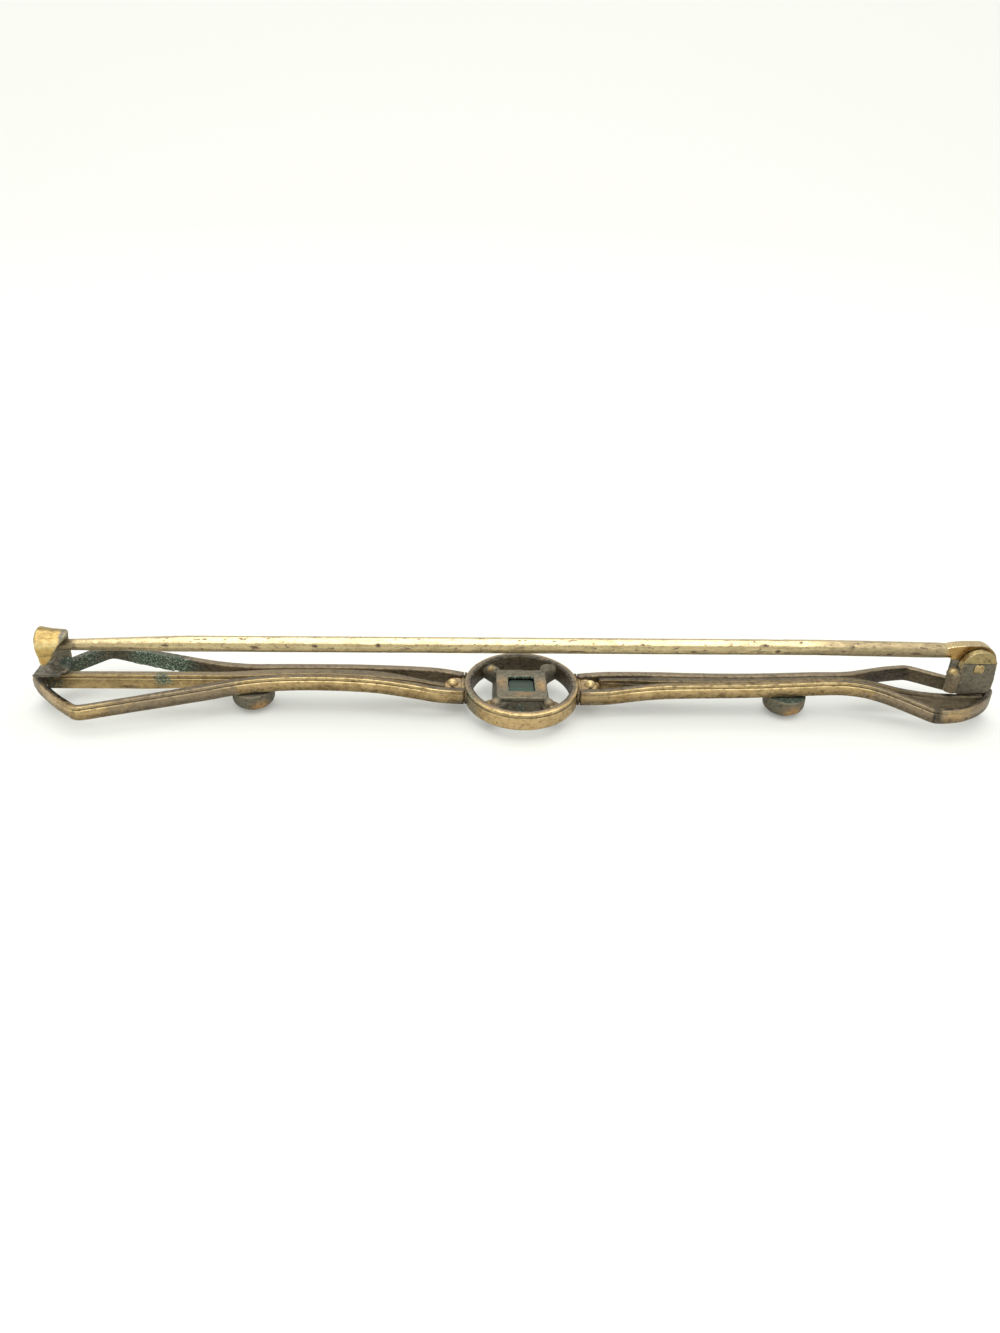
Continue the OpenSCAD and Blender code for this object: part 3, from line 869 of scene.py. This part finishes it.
# The sheet of the catch along its middle. Columns: y, z, the way its outer side
# faces in degrees, its left and right edges, and how much its left edge flares
FOOT_ROWS = [
    (-0.7, FOOT_Z, -90, -29.6, -28, 0), (0.35, FOOT_Z, -90, -29.6, -27.8, 0),
    (0.7, FOOT_Z + 0.12, -50, -29.5, -27.75, 0), (0.88, FOOT_Z + 0.45, -12, -29.35, -27.72, 0),
    (0.86, FOOT_Z + 1.15, 0, -29.2, -27.7, 0),
]
# Columns: angle round the stem from the far side, left edge and right edge
HOOK_ROWS = [
    (0, -29.15, -27.66), (60, -29.06, -27.44), (100, -29.05, -27.24),
    (125, -29.04, -27.28), (140, -29.03, -27.44), (165, -28.98, -27.75), (205, -28.92, -28.12),
]
POINT_ROWS = [
    (-0.8, 3.52, 186, -28.93, -28.26, 0.6), (-0.79, 3.28, 184, -28.9, -28.44, 0.6),
    (-0.77, 3.1, 182, -28.82, -28.62, 0.6),
]
# How far a flared sheet stands out across its width. Columns: share of the width, and mm
FLARE = [(0, 0.12), (0.2, 0.05), (0.5, -0.03), (1, -0.08)]
# The hook is flared in full from this angle on
FLARE_FULL_AT = 60


def spline(rows, steps):
    """A smooth curve through the rows, with steps points between each two."""
    rows = np.array(rows, float)
    padded = np.vstack([2 * rows[0] - rows[1], rows, 2 * rows[-1] - rows[-2]])
    curve = []
    for a, b, c, d in zip(padded, padded[1:], padded[2:], padded[3:]):
        for k in range(steps):
            t = k / steps
            curve.append(0.5 * (
                2 * b + (c - a) * t + (2 * a - 5 * b + 4 * c - d) * t ** 2
                + (3 * b - a - 3 * c + d) * t ** 3
            ))
    curve.append(rows[-1])
    return np.array(curve)


def sheet_ring(station):
    """The sheet's section at one place: flat sides with round edges."""
    y, z, facing, left, right, flare = station
    facing = radians(facing)
    outward = np.array([0, cos(facing), sin(facing)])
    half = min(SHEET_T / 2, (right - left) * 0.46)
    xs = np.linspace(left + half, right - half, 11)
    turn = np.linspace(pi / 2, -pi / 2, 7)[1:-1]
    outline = [(x, half) for x in xs]
    outline += [(right - half + half * cos(a), half * sin(a)) for a in turn]
    outline += [(x, -half) for x in xs[::-1]]
    outline += [(left + half - half * cos(a), -half * sin(a)) for a in turn]
    ring = []
    for x, out in outline:
        share = (x - left) / (right - left)
        bulge = np.interp(share, *np.transpose(FLARE)) * flare
        ring.append(np.array([x, y, z]) + outward * (out + bulge))
    return ring


def hook_row(angle):
    angles, lefts, rights = np.transpose(HOOK_ROWS)
    around = radians(angle)
    return (
        HOOK_R * cos(around), HOOK_Z + HOOK_R * sin(around), angle,
        np.interp(angle, angles, lefts), np.interp(angle, angles, rights),
        min(1, angle / FLARE_FULL_AT),
    )


def block(low, high):
    (left, front, bottom), (right, back, top) = low, high
    return prism([(left, bottom), (right, bottom), (right, top), (left, top)], front, back)


# Solder round the foot: centre, radius, and how far each lump is stretched
CATCH_SOLDER = [
    ((-28.05, 0.42, 2.36), 0.3, (1.2, 1.3, 0.9)), ((-27.95, 0.78, 2.55), 0.24, (1, 1, 1.2)),
    ((-28.5, 0.66, 2.38), 0.26, (1.5, 1, 0.8)), ((-27.9, 0, 2.3), 0.22, (1, 1.5, 0.7)),
]
# Solder below the foot, from its low corner to its high one
FOOT_BLOCK = ((-29, -0.55, 2.16), (-28.05, 0.35, 2.26))


def add_catch(material, paint):
    hook_rows = [hook_row(angle) for angle in range(0, HOOK_ROWS[-1][0] + 1, 12)]
    rings = [sheet_ring(station) for station in spline([*FOOT_ROWS, *hook_rows, *POINT_ROWS], 5)]
    sheet = new_shell(np.concatenate(rings), grid_faces(len(rings), len(rings[0])))
    foot = block(*FOOT_BLOCK)
    solder = [ball(*lump) for lump in CATCH_SOLDER]
    made = fuse(join([sheet, foot, *solder]), voxel=0.034, smoothing=6)

    def crust(points):
        low = ramp(-points[:, 2], -2.95, -2.5)
        rough = uneven(points, (0.035, 0.3), (0.02, 0.13), seed=53)
        return uneven(points, (0.012, 0.6), (0.006, 0.2), seed=51) + low * rough

    displace(made, crust)
    finish_piece(made, "catch_hook", ["catch"], material, paint)


HEAD_MID = (28.25, 3.82)
HEAD_R = 1.3
HEAD_T = 0.7
HEAD_GAP = 0.05
EAR_R = 1.12
EAR_T = 0.4
PIVOT = (28.3, 3.72)
RIVET_R = 0.3
EAR_FACE_Y = -(HEAD_T / 2 + HEAD_GAP + EAR_T)


def prism(outline, y_low, y_high):
    """A flat plate on edge: its outline in x and z, between two values of y."""
    count = len(outline)
    points = [(x, y, z) for y in (y_low, y_high) for x, z in outline]
    faces = [tuple(range(count)), tuple(range(2 * count - 1, count - 1, -1))]
    faces += [(i, i + count, (i + 1) % count + count, (i + 1) % count) for i in range(count)]
    return new_shell(points, faces)


def arc(centre, radius, start, end, steps):
    turns = np.radians(np.linspace(start, end, steps))
    return [(centre[0] + radius * cos(a), centre[1] + radius * sin(a)) for a in turns]


HALF_MOON_FROM = 17
HALF_MOON_RISE = 0.05
# Lumps that round the stop beside the front ear: centre, radius, and stretch
LUG_LUMPS = [
    ((26.82, -0.62, 3.36), 0.36, (1.1, 0.8, 0.9)), ((27.1, -0.66, 3.1), 0.3, (1, 0.8, 1.3)),
    ((27.3, -0.6, 2.7), 0.3, (1.3, 0.9, 1)),
]


def add_bracket(material, paint):
    moon = arc(HEAD_MID, EAR_R, HALF_MOON_FROM, 180 - HALF_MOON_FROM, 40)
    raised = prism(moon, EAR_FACE_Y - HALF_MOON_RISE, EAR_FACE_Y + 0.15)
    lumps = [ball(*lump) for lump in LUG_LUMPS]
    made = fuse(join([cad_copy("hinge_bracket"), raised, *lumps]), voxel=0.034, smoothing=4)
    roughen(made, (0.014, 0.5), (0.008, 0.18), seed=61)
    finish_piece(made, "hinge_ears", ["hinge_bracket"], material, paint)


RIVET_END_R = 0.35
RIVET_RISE = 0.08


def add_rivet(material, paint):
    """The pivot, its ends hammered nearly square over the ears."""
    half, face = RIVET_RISE - EAR_FACE_Y, 0.01 - EAR_FACE_Y
    side = [
        (AXIS_R, half), (0.14, half), (0.26, half - 0.02), (RIVET_END_R - 0.02, half - 0.045),
        (RIVET_END_R, face), (RIVET_R, face - 0.02), (RIVET_R, 0.1),
    ]
    profile = [(r, -z) for r, z in side] + [(r, z) for r, z in reversed(side)]
    made = lathe(profile, 64, closed=False)
    points = get_points(made.data)
    angle = np.arctan2(points[:, 1], points[:, 0])
    square = 1 - 0.1 * np.cos(4 * angle) * ramp(np.abs(points[:, 2]), face - 0.04, face)
    across, up = points[:, 0] * square, points[:, 1] * square * 0.94
    set_points(made.data, np.stack([PIVOT[0] + across, points[:, 2], PIVOT[1] + up], 1))
    turn_outward(made)
    finish_piece(made, "rivet", ["hinge_rivet"], material, paint)


# Stations of the stem from the hinge to its tip: x, height of the axis, radius
STEM_ROWS = [
    (26.1, 4.6, 0.455), (25.6, 4.61, 0.475), (25, 4.61, 0.48), (18, 4.67, 0.485),
    (-20, 4.31, 0.488), (-21.5, 4.27, 0.468), (-27.5, 4.12, 0.34), (-28.3, 4.1, 0.28),
    (-28.9, 4.085, 0.18), (-29.08, 4.08, 0.08),
]
POINT_FROM_X = -28.3
STEM_AROUND = 64
STEM_STEP = 0.12
# The stem ends where its flat head begins, along a slanting line
STEM_END_TOP_Z = 5.05
STEM_END_SLANT = 0.68


def stem_shape():
    xs, axis_z, radii = np.transpose(STEM_ROWS[::-1])
    point = np.linspace(xs[0], POINT_FROM_X, 9)[1:-1]
    fine = np.concatenate([np.arange(xs[0], xs[-1], STEM_STEP), xs[-1:], point])
    angles = np.linspace(0, 2 * pi, STEM_AROUND, endpoint=False)
    rings = []
    for x in np.unique(fine.round(4)):
        radius = np.interp(x, xs, radii)
        heights = np.interp(x, xs, axis_z) + radius * np.sin(angles)
        places = x + STEM_END_SLANT * ramp(x, 25.2, 26.1) * (STEM_END_TOP_Z - heights)
        rings.append(np.stack([places, radius * np.cos(angles), heights], 1))
    made = new_shell(np.concatenate(rings), grid_faces(len(rings), STEM_AROUND))

    def dents(points):
        pits = ramp(noise(points * np.array([0.6, 1, 1]), 0.34, 72), 0.5, 0.8)
        return 0.006 * noise(points, 1.6, 71) + 0.003 * noise(points, 0.35, 73) - 0.014 * pits

    displace(made, dents)
    return made


TONGUE_X = 26.08
TONGUE_H = 1
# Left of here the disc of the head is cut away below the tongue
DISC_FROM_X = 27.15


def tongue_shape():
    """The flat head that turns between the ears, and the tongue up to the round stem."""
    top = HEAD_MID[1] + HEAD_R
    start = degrees(acos((DISC_FROM_X - HEAD_MID[0]) / HEAD_R))
    outline = [
        (TONGUE_X, top - 0.24), (TONGUE_X + 0.52, top - TONGUE_H), (DISC_FROM_X, top - TONGUE_H),
        *arc(HEAD_MID, HEAD_R, -start, 90, 64), (HEAD_MID[0] - 1, top - 0.02),
        (TONGUE_X + 0.6, top - 0.08),
    ]
    return fuse(prism(outline, -HEAD_T / 2, HEAD_T / 2), voxel=0.034, smoothing=3)


def add_pin(material, paint):
    made = join([stem_shape(), tongue_shape()])
    finish_piece(made, "pin_stem", ["pin"], material, paint, "pin")


# Paint: where each layer lies on each piece. Limits are places in mm or parts of a normal,
# and weights are shares of a layer, all set against the photo

def groove(below, outer):
    """The drawn line on the outer side of a strip."""
    return ramp(outer, 0.15, 0.3) * near(below - LINE_MID, 0.02, 0.075)


# How dull the front runs are along the brooch. Columns: x and tarnish
LEFT_TONE = [
    (-29, 0.35), (-27, 0.1), (-24, 0.6), (-21, 0.85), (-19, 0.85), (-17, 0.4), (-13, 0.15),
    (-8, 0.1), (-6, 0.25), (-4, 0.45),
]
RIGHT_TONE = [
    (4, 0.45), (6.5, 0.35), (8.5, 0.1), (15, 0), (19, 0.1), (22, 0.5), (24, 0.9), (24.8, 1),
    (25.4, 1), (25.9, 0.5), (27.5, 0.45), (28.5, 0.9),
]


def outline_paint(points, normals, below, outer, tone):
    """What both outlines share: their tarnish, their painted shade, with the tops darkened by tarnish
    as painted shade, and where ridges aren't worn.
    """
    x, y, _ = points.T
    back = ramp(y, -0.3, 0.3)
    front = 1 - back
    inner = ramp(-outer, 0.25, 0.45)
    top = ramp(normals[:, 2], 0.5, 0.85) * ramp(-outer, -0.42, -0.3)
    arris = ramp(outer, 0.28, 0.4) * ramp(-below, -0.17, -0.08)
    foot = ramp(outer, 0.3, 0.45) * ramp(below, 0.42, 0.8)
    line = (0.27 - 0.22 * near(x, 5, 7.5)) * groove(below, outer)
    end = near(x, 4, 4.5)
    tarnish_and_painted_shade = front * np.interp(x, *np.transpose(tone)) + 0.85 * back + 0.5 * inner
    # Tarnish on the tops here is painted shade
    tarnish_and_painted_shade += 0.5 * ramp(-normals[:, 2], 0.2, 0.7) + 0.3 * top
    shade = front * (0.55 * foot + line + 0.5 * top + 0.16 * arris)
    shade += 0.35 * back + 0.3 * inner * front + 0.2 * inner * near(x, 7.5, 9) + 0.15 * end
    return tarnish_and_painted_shade, shade, np.maximum(end, 0.45 * front * top)


def left_outline_paint(points, normals, below, outer):
    tarnish_and_painted_shade, shade, cut = outline_paint(points, normals, below, outer, LEFT_TONE)
    x, y, _ = points.T
    inner = ramp(-normals[:, 1], 0.1, 0.5) * ramp(y, 0.2, 0.6)
    crest = ramp(normals[:, 2], 0.3, 0.7) * ramp(y, 0.4, 1.4) * ramp(-x, 20, 21.5)
    run = ramp(-x, 20, 21.4) * ramp(x, -25.6, -23.6)
    spread = 0.45 * ramp(-x, 19, 20) + 0.17 * ramp(-x, 26, 27)
    deep = 0.35 * ramp(-x, 18, 20) - 0.35 * ramp(-x, 25.6, 27)
    returned = ramp(-x, 26.6, 27.2) * ramp(-y, 0, 0.4)
    shade += inner * (deep * (1 - run) - 0.35 * run) + 0.3 * crest
    shade += returned * (0.45 * (1 - ramp(outer, 0.1, 0.3)) - 0.27 * groove(below, outer))
    return dict(
        tarnish_and_painted_shade=np.maximum(tarnish_and_painted_shade, 0.6 * ramp(-x, 28.6, 29.4)), shade=shade,
        green=inner * (0.82 * run + spread * (1 - run)) + 0.5 * crest,
        ridge_cut=np.maximum(cut, returned),
    )


def verdigris_crust(points):
    """How thick the verdigris lies on the inside of the left kite's back run."""
    x, y, z = points.T
    run = ramp(-x, 20, 21.4) * ramp(x, -25.6, -24) * ramp(y, 0.8, 1.2)
    low = ramp(-z, -1.9, -1.4)
    return run * (0.02 + 0.04 * low) * (1 + noise(points, 0.22, 91) + 0.6 * noise(points, 0.11, 92))


def right_outline_paint(points, normals, below, outer):
    tarnish_and_painted_shade, shade, cut = outline_paint(points, normals, below, outer, RIGHT_TONE)
    x, y, _ = points.T
    face = ramp(outer, 0.1, 0.3)
    inner = ramp(x, 20, 23) * ramp(-outer, 0.25, 0.45)
    corner = near(x - 25.36, 0.16, 0.34) * ramp(-y, 2, 2.4)
    returned = ramp(x, 25.6, 26) * ramp(-y, -0.1, 0.2)
    flecked = ramp(x, 8, 10) * ramp(-x, -20, -17) * ramp(y, 0, 0.3)
    shade = np.maximum(shade * (1 - inner), inner * (0.8 - 0.3 * ramp(x, 25.2, 25.8)))
    shade += returned * (0.35 * (1 - face) - 0.27 * groove(below, outer))
    return dict(
        tarnish_and_painted_shade=tarnish_and_painted_shade + returned * (1 - face), shade=np.maximum(shade, 0.78 * corner),
        warm=0.5 * returned * face * ramp(-x, -28.2, -27.2) * ramp(below, 0.2, 0.5),
        green=0.42 * ramp(x, 28.3, 29.3) * face + 0.3 * flecked,
        ridge_cut=np.maximum(cut, returned),
    )


def spine_paint(points, normals, below, dark):
    x = points[:, 0]
    # Tops are darkened with tarnish and shade, as painted shade
    top = ramp(normals[:, 2], 0.5, 0.8)
    end = ramp(-x, 27.3, 28.4)
    plain = ramp(x, 23, 24.5)
    return dict(
        tarnish_and_painted_shade=0.15 + 0.6 * top + plain,
        shade=dark(x) + 0.12 * ramp(below, 0.7, 1) + 0.5 * end + 0.22 * top,
        green=0.62 * patch(points, (-22, -0.2, 1.9), (1.3, 0.8, 1.1)) + 0.5 * end,
        dirt=0.6 * patch(points, (-24.2, -0.2, 1.35), (1.6, 0.5, 0.35)),
        ridge_cut=np.maximum(0.8 * plain, near(x, 7, 8.5)),
    )


def ring_paint(points, normals):
    x, y, z = points.T
    radius = np.hypot(x, y)
    below = FACE_Z + RING_H - z + (y + RING_R) * sin(RING_LEAN)
    outer = ramp(radius, 3.35, 3.45)
    inner = ramp(-radius, -3.3, -3.12)
    top = ramp(normals[:, 2], 0.4, 0.8)
    left, right = ramp(-x, 1.6, 3.2), ramp(x, 1.7, 2.7)
    front = ramp(-y, 0.5, 1.8)
    # lit is the front of the band where light falls, painted cleaner and warmer as painted light
    lit = near(x + 0.2, 1.2, 2) * front
    line = outer * near(below - LINE_MID, 0.02, 0.08)
    # The crest and the back crest carry painted highlight lines along the top of the band
    crest = outer * ramp(-below, -0.18, -0.1)
    back_crest = crest * ramp(y, 1, 2.2)
    # Painted shade and tarnish darken the inner wall and the tops
    shade = 0.6 * inner + 0.2 * line + 0.02 * left + 0.06 * right + 0.34 * lit * crest
    shade += 0.25 * top * (1 - front) * (1 - 0.8 * back_crest) + 0.2 * top * (1 - crest)
    shade += 0.15 * front * (1 - inner) * ramp(below, 0.85, 1.14)
    tarnish_and_painted_shade = 0.75 * inner + 0.6 * top * (1 - crest) + 0.6 * left + 0.3 * right
    return dict(
        tarnish_and_painted_shade=tarnish_and_painted_shade + 0.4 * ramp(y, 0, 2) * (1 - back_crest), shade=shade,
        warm=0.06 * lit * (1 - inner) * (1 - top),
        clean_and_painted_light=0.9 * lit * (1 - inner) * np.maximum(1 - top, crest),
        bright=0.3 * (lit * crest + back_crest), ridge_cut=0.5 * top,
        green=0.45 * left * (1 - inner) * ramp(-y, 0.3, 1.2),
    )


# Warm spots of the setting: centre, half size and how warm
WARM_SPOTS = [
    ((-1.2, 0.1, 1.7), (0.5, 1.1, 0.5), 0.4), ((1.22, -0.2, 1.7), (0.5, 1.1, 0.5), 0.55),
    ((-1.95, -1.7, 1.35), (0.8, 0.7, 0.5), 0.6), ((1.9, -1.75, 1.35), (0.8, 0.7, 0.5), 0.6),
    ((0.1, -1.2, 1.7), (0.9, 0.4, 0.4), 0.4),
]


def setting_paint(points, normals):
    x, y, z = points.T
    top = ramp(normals[:, 2], 0.5, 0.9)
    warm = sum(share * patch(points, centre, size) for centre, size, share in WARM_SPOTS)
    # bright is a painted glint on the grain of the upper left claw
    bright = patch(points, (-1.8, 1.62, 1.8), (0.45, 0.4, 0.4))
    green = 0.6 * patch(points, (-0.1, -1.8, 1.1), (0.7, 0.6, 0.9))
    # The collet's inner walls round the stone are painted a lighter grey-green, painted light where
    # little light reaches
    opening = near(x, 0.95, 1.05) * near(y, 0.95, 1.05) * (1 - top)
    sides = 0.45 * (1 - top) * ramp(-z, -1.6, -1.3) * (1 - opening)
    return dict(
        tarnish_and_painted_shade=0.95 - 0.3 * top - 0.4 * warm - 0.8 * bright,
        warm=warm + 0.3 * bright, clean_and_painted_light=bright, green=np.maximum(green, 0.9 * opening),
        shade=sides + top * (0.22 + 0.22 * ramp(y, 0.6, 1.2)) * (1 - bright),
    )


def stone_paint(points, normals):
    # Lighter green towards the front is a painted reflection in the stone's front facet
    return dict(clean_and_painted_light=ramp(-points[:, 1], 0.05, 0.3))


def stud_paint(points, normals, worn_and_painted_highlight, flecked):
    # The bare warm patch on the dome is wear and also a painted reflection of the floor on the gold
    bare = patch(points, *worn_and_painted_highlight)
    flecks = flecked * ramp(normals[:, 2], 0.5, 0.9)
    low = ramp(-points[:, 2], -0.5, -0.1)
    return dict(
        tarnish_and_painted_shade=0.85 - 0.7 * bare, warm=0.95 * bare, green=flecks,
        shade=(0.25 + 0.2 * low) * (1 - 0.8 * bare) + 0.5 * flecks,
    )


def neck_paint(points, normals):
    x, _, z = points.T
    pellet = ramp(z, 1.72, 1.82) * ramp(np.abs(x), 3.8, 3.9)
    return dict(
        tarnish_and_painted_shade=0.45 * (1 - pellet), clean_and_painted_light=pellet, ridge_cut=1 - pellet,
        # The right pellet gets a painted highlight
        bright=0.5 * pellet * (x > 0),
        shade=(1 - pellet) * (0.17 + 0.5 * near(x, 3.55, 3.7)) + 0.2 * (z < 1.5),
    )


def bracket_paint(points, normals):
    x, y, z = points.T
    front = ramp(-y, 0.3, 0.4)
    moon = ramp(z, 4.1, 4.17) * ramp(x, 26.9, 27)
    # lug_top and rim are painted highlights, on the top of the stop and on the rim of the half-moon
    lug_top = patch(points, (26.75, -0.85, 3.6), (0.45, 0.5, 0.3), 0.4)
    rim = ramp(np.hypot(x - HEAD_MID[0], z - HEAD_MID[1]), 1, 1.08) * ramp(z, 3.6, 3.9)
    gilt_and_painted_highlight = np.clip(front * (moon + 0.8 * rim) + lug_top, 0, 1)
    behind = ramp(y, 0.1, 0.3) * ramp(-x, -27.9, -27.5) * ramp(-normals[:, 1], 0.1, 0.5)
    return dict(
        tarnish_and_painted_shade=0.9 - 0.9 * gilt_and_painted_highlight, clean_and_painted_light=gilt_and_painted_highlight, warm=0.2 * ramp(-x, -27.36, -27.3) * front,
        shade=0.15 * (1 - gilt_and_painted_highlight) + 0.3 * (1 - front) + 0.55 * behind,
        dirt=0.8 * patch(points, (28.75, -0.85, 4.32), (0.12, 0.2, 0.12)),
    )


def rivet_paint(points, normals):
    even = np.full(len(points), 0.3)
    return dict(clean_and_painted_light=even, tarnish_and_painted_shade=even)


def catch_paint(points, normals):
    x, y, z = points.T
    low = ramp(-z, -3, -2.5)
    inside = ramp(-np.hypot(y, z - HOOK_Z), -HOOK_R, -HOOK_R + 0.1) * ramp(z, 3, 3.2)
    # behind is the wall behind the stem, dulled as painted shade
    behind = ramp(y, 0.2, 0.5) * ramp(-z, -4.6, -4.2)
    roof_end = ramp(x, -27.9, -27.4) * ramp(z, 4.2, 4.7)
    dull = np.clip(low + 0.5 * inside + behind + 0.9 * roof_end, 0, 1)
    plate = 0.15 * ramp(-y, 0.2, 0.5) * low
    # plate_edge is a painted highlight along the front edge of the foot
    plate_edge = patch(points, (-28.6, -0.82, 2.36), (0.5, 0.12, 0.1), 0.4)
    upper = ramp(z, 4.25, 4.5) * (1 - inside)
    # band is a painted highlight across the hook, with painted shade on the face above it
    band = near(z - 4.56, 0.06, 0.34) * ramp(-y, 0.5, 0.8) * (1 - inside)
    shade = 0.45 * low + 0.05 * behind + 0.5 * upper * (1 - 0.9 * band) + plate
    return dict(
        tarnish_and_painted_shade=dull, clean_and_painted_light=(0.6 + 0.4 * band) * (1 - dull), ridge_cut=low,
        bright=0.85 * band + 0.7 * plate_edge,
        shade=shade + 0.12 * (1 - upper) * (1 - band) * (1 - low) - 0.3 * plate_edge,
        green=0.8 * patch(points, (-27.9, 0.5, 2.55), (0.9, 0.9, 0.7))
        + 0.6 * patch(points, (-29.7, -0.3, 2.3), (0.6, 0.8, 0.5)),
        warm=0.6 * patch(points, (-28.6, -0.95, 3.35), (0.35, 0.4, 0.4)),
    )


# Stains on the stem. Columns: x, y, z, half length and half height
STAIN_HALF_DEPTH = 0.3
STEM_STAINS = [
    (14.8, -0.3, 4.9, 0.9, 0.25), (15.6, -0.4, 4.6, 0.5, 0.3), (22.6, -0.4, 4.5, 0.5, 0.2),
    (-12.6, -0.4, 4.5, 0.5, 0.25), (-8.8, -0.4, 4.6, 0.35, 0.3), (-16.2, -0.4, 4.4, 0.7, 0.2),
    (-21.5, -0.4, 4.4, 0.6, 0.15), (3.2, -0.45, 4.4, 1.4, 0.12), (10.4, -0.4, 4.5, 0.5, 0.2),
    (7.4, -0.4, 4.3, 0.9, 0.12), (20.2, -0.3, 4.9, 0.6, 0.2), (24.2, -0.4, 4.6, 0.9, 0.2),
    (18.4, -0.4, 4.4, 0.5, 0.2),
]


def pin_paint(points, normals):
    x, _, z = points.T
    stains = sum(
        patch(points, place, (half_length, STAIN_HALF_DEPTH, half_height))
        for *place, half_length, half_height in STEM_STAINS
    )
    head = ramp(x, 26, 26.4)
    cheek = head * ramp(-normals[:, 1], 0.5, 0.8)
    under = head * ramp(-z, -4.14, -4.08) * ramp(-x, -28.4, -27.9)
    hooked = ramp(-x, 26.6, 27.4)
    # The lower half of the stem is tarnished, partly real patina and partly painted shade for the
    # darker table it reflects
    stem = (0.42 * ramp(x, 15, 20) + 0.34 * ramp(-normals[:, 2], -0.3, 0.1)) * (1 - head)
    return dict(
        tarnish_and_painted_shade=0.12 + 0.5 * hooked + stem + 0.2 * ramp(-x, 22.5, 25.5),
        dirt=0.75 * stains, warm=0.85 * cheek + 0.25 * head,
        shade=cheek * (0.05 + 0.5 * ramp(x, 27.1, 27.5)) + 0.3 * hooked + 0.8 * under,
    )


# The whole brooch

add_camera()
add_sweep(srgb("#a8a9a4"))
add_world((0.98, 0.98, 0.98, 1))
add_soft_box(400, 200, -427, 373, 2.6)
bpy.context.scene.view_settings.view_transform = "Standard"

brass = aged_metal(
    "aged_brass", "#c0a576", "#967d54", "#7c7160", "#5f4d35", "#dcc78f", hollows=0.22, grain=0.55
)
spine_brass = aged_metal(
    "spine_brass", "#c0a472", "#9b855e", "#7a6e58", "#54442f", "#cdb47a", seed=4, hollows=0.4,
    grain=0.34,
)
dark_brass = aged_metal(
    "dark_brass", "#a08e60", "#7c7259", "#6c685a", "#33302a", "#a29674",
    rough=(0.4, 0.58), seed=8, hollows=0.8, warm="#b58c5c",
)
pale_gold = aged_metal(
    "pale_gold", "#c0ae84", "#a08e6a", "#7a6c50", "#4a3626", "#c8b888",
    rough=(0.18, 0.3), stretch=(0.4, 1, 1), tone_at=0.46, seed=12, speck_at=0.61, grain=0.3,
    warm="#a5824c",
)
gold = aged_metal(
    "gold", "#c3a565", "#ac9158", "#7a7f7a", "#3a3630", "#ecd79c",
    rough=(0.28, 0.4), seed=16, warm="#b88748", grain=0.2,
)

glass = Graph("green_glass")
glass_colour = glass.mix(glass.layer("clean_and_painted_light"), srgb("#343d36"), srgb("#34483a"))
glass.feed(glass.shader.inputs["Base Color"], glass_colour)
glass.shader.inputs["Roughness"].default_value = 0.16
glass.shader.inputs["IOR"].default_value = 1.5
glass.shader.inputs["Specular IOR Level"].default_value = 0.2

add_outline(
    "left_bar_outline", "left_outline", LEFT_BAR_ROWS, LEFT_KITE_ROWS, 1,
    brass, left_outline_paint, seed=11, crust=verdigris_crust,
)
add_outline(
    "right_bar_outline", "right_outline", RIGHT_BAR_ROWS, RIGHT_KITE_ROWS, -1,
    brass, right_outline_paint, seed=13,
)
add_spine(
    "left_bar_spine", "left_spine", LEFT_SPINE_ROWS, STRIP_D + 0.06, spine_brass,
    partial(spine_paint, dark=lambda x: 0.3 * ramp(x, -17, -9)), seed=15,
)
add_spine(
    "right_bar_spine", "right_spine", RIGHT_SPINE_ROWS, STRIP_D + 0.12, spine_brass,
    partial(spine_paint, dark=lambda x: 0.4 + 0.2 * ramp(-x, -9, -7)), seed=17,
)
add_ring(brass, ring_paint)
add_setting(dark_brass, setting_paint)
add_stone(glass.material, stone_paint)
add_neck("left_bar_neck", "left_neck", -1, brass, neck_paint)
add_neck("right_bar_neck", "right_neck", 1, brass, neck_paint)
add_stud(
    "left_face_stud", "left_stud", -16.66, 1.36, dark_brass,
    partial(stud_paint, worn_and_painted_highlight=((-16.1, -1.1, 0.45), (1, 0.9, 0.62)), flecked=0), seed=81,
)
add_stud(
    "right_face_stud", "right_stud", 16.76, 1.41, dark_brass,
    partial(stud_paint, worn_and_painted_highlight=((17.1, -1.2, 0.5), (1.1, 0.8, 0.6)), flecked=0.7), seed=85,
)
add_catch(gold, catch_paint)
add_bracket(dark_brass, bracket_paint)
add_rivet(brass, rivet_paint)
add_pin(pale_gold, pin_paint)
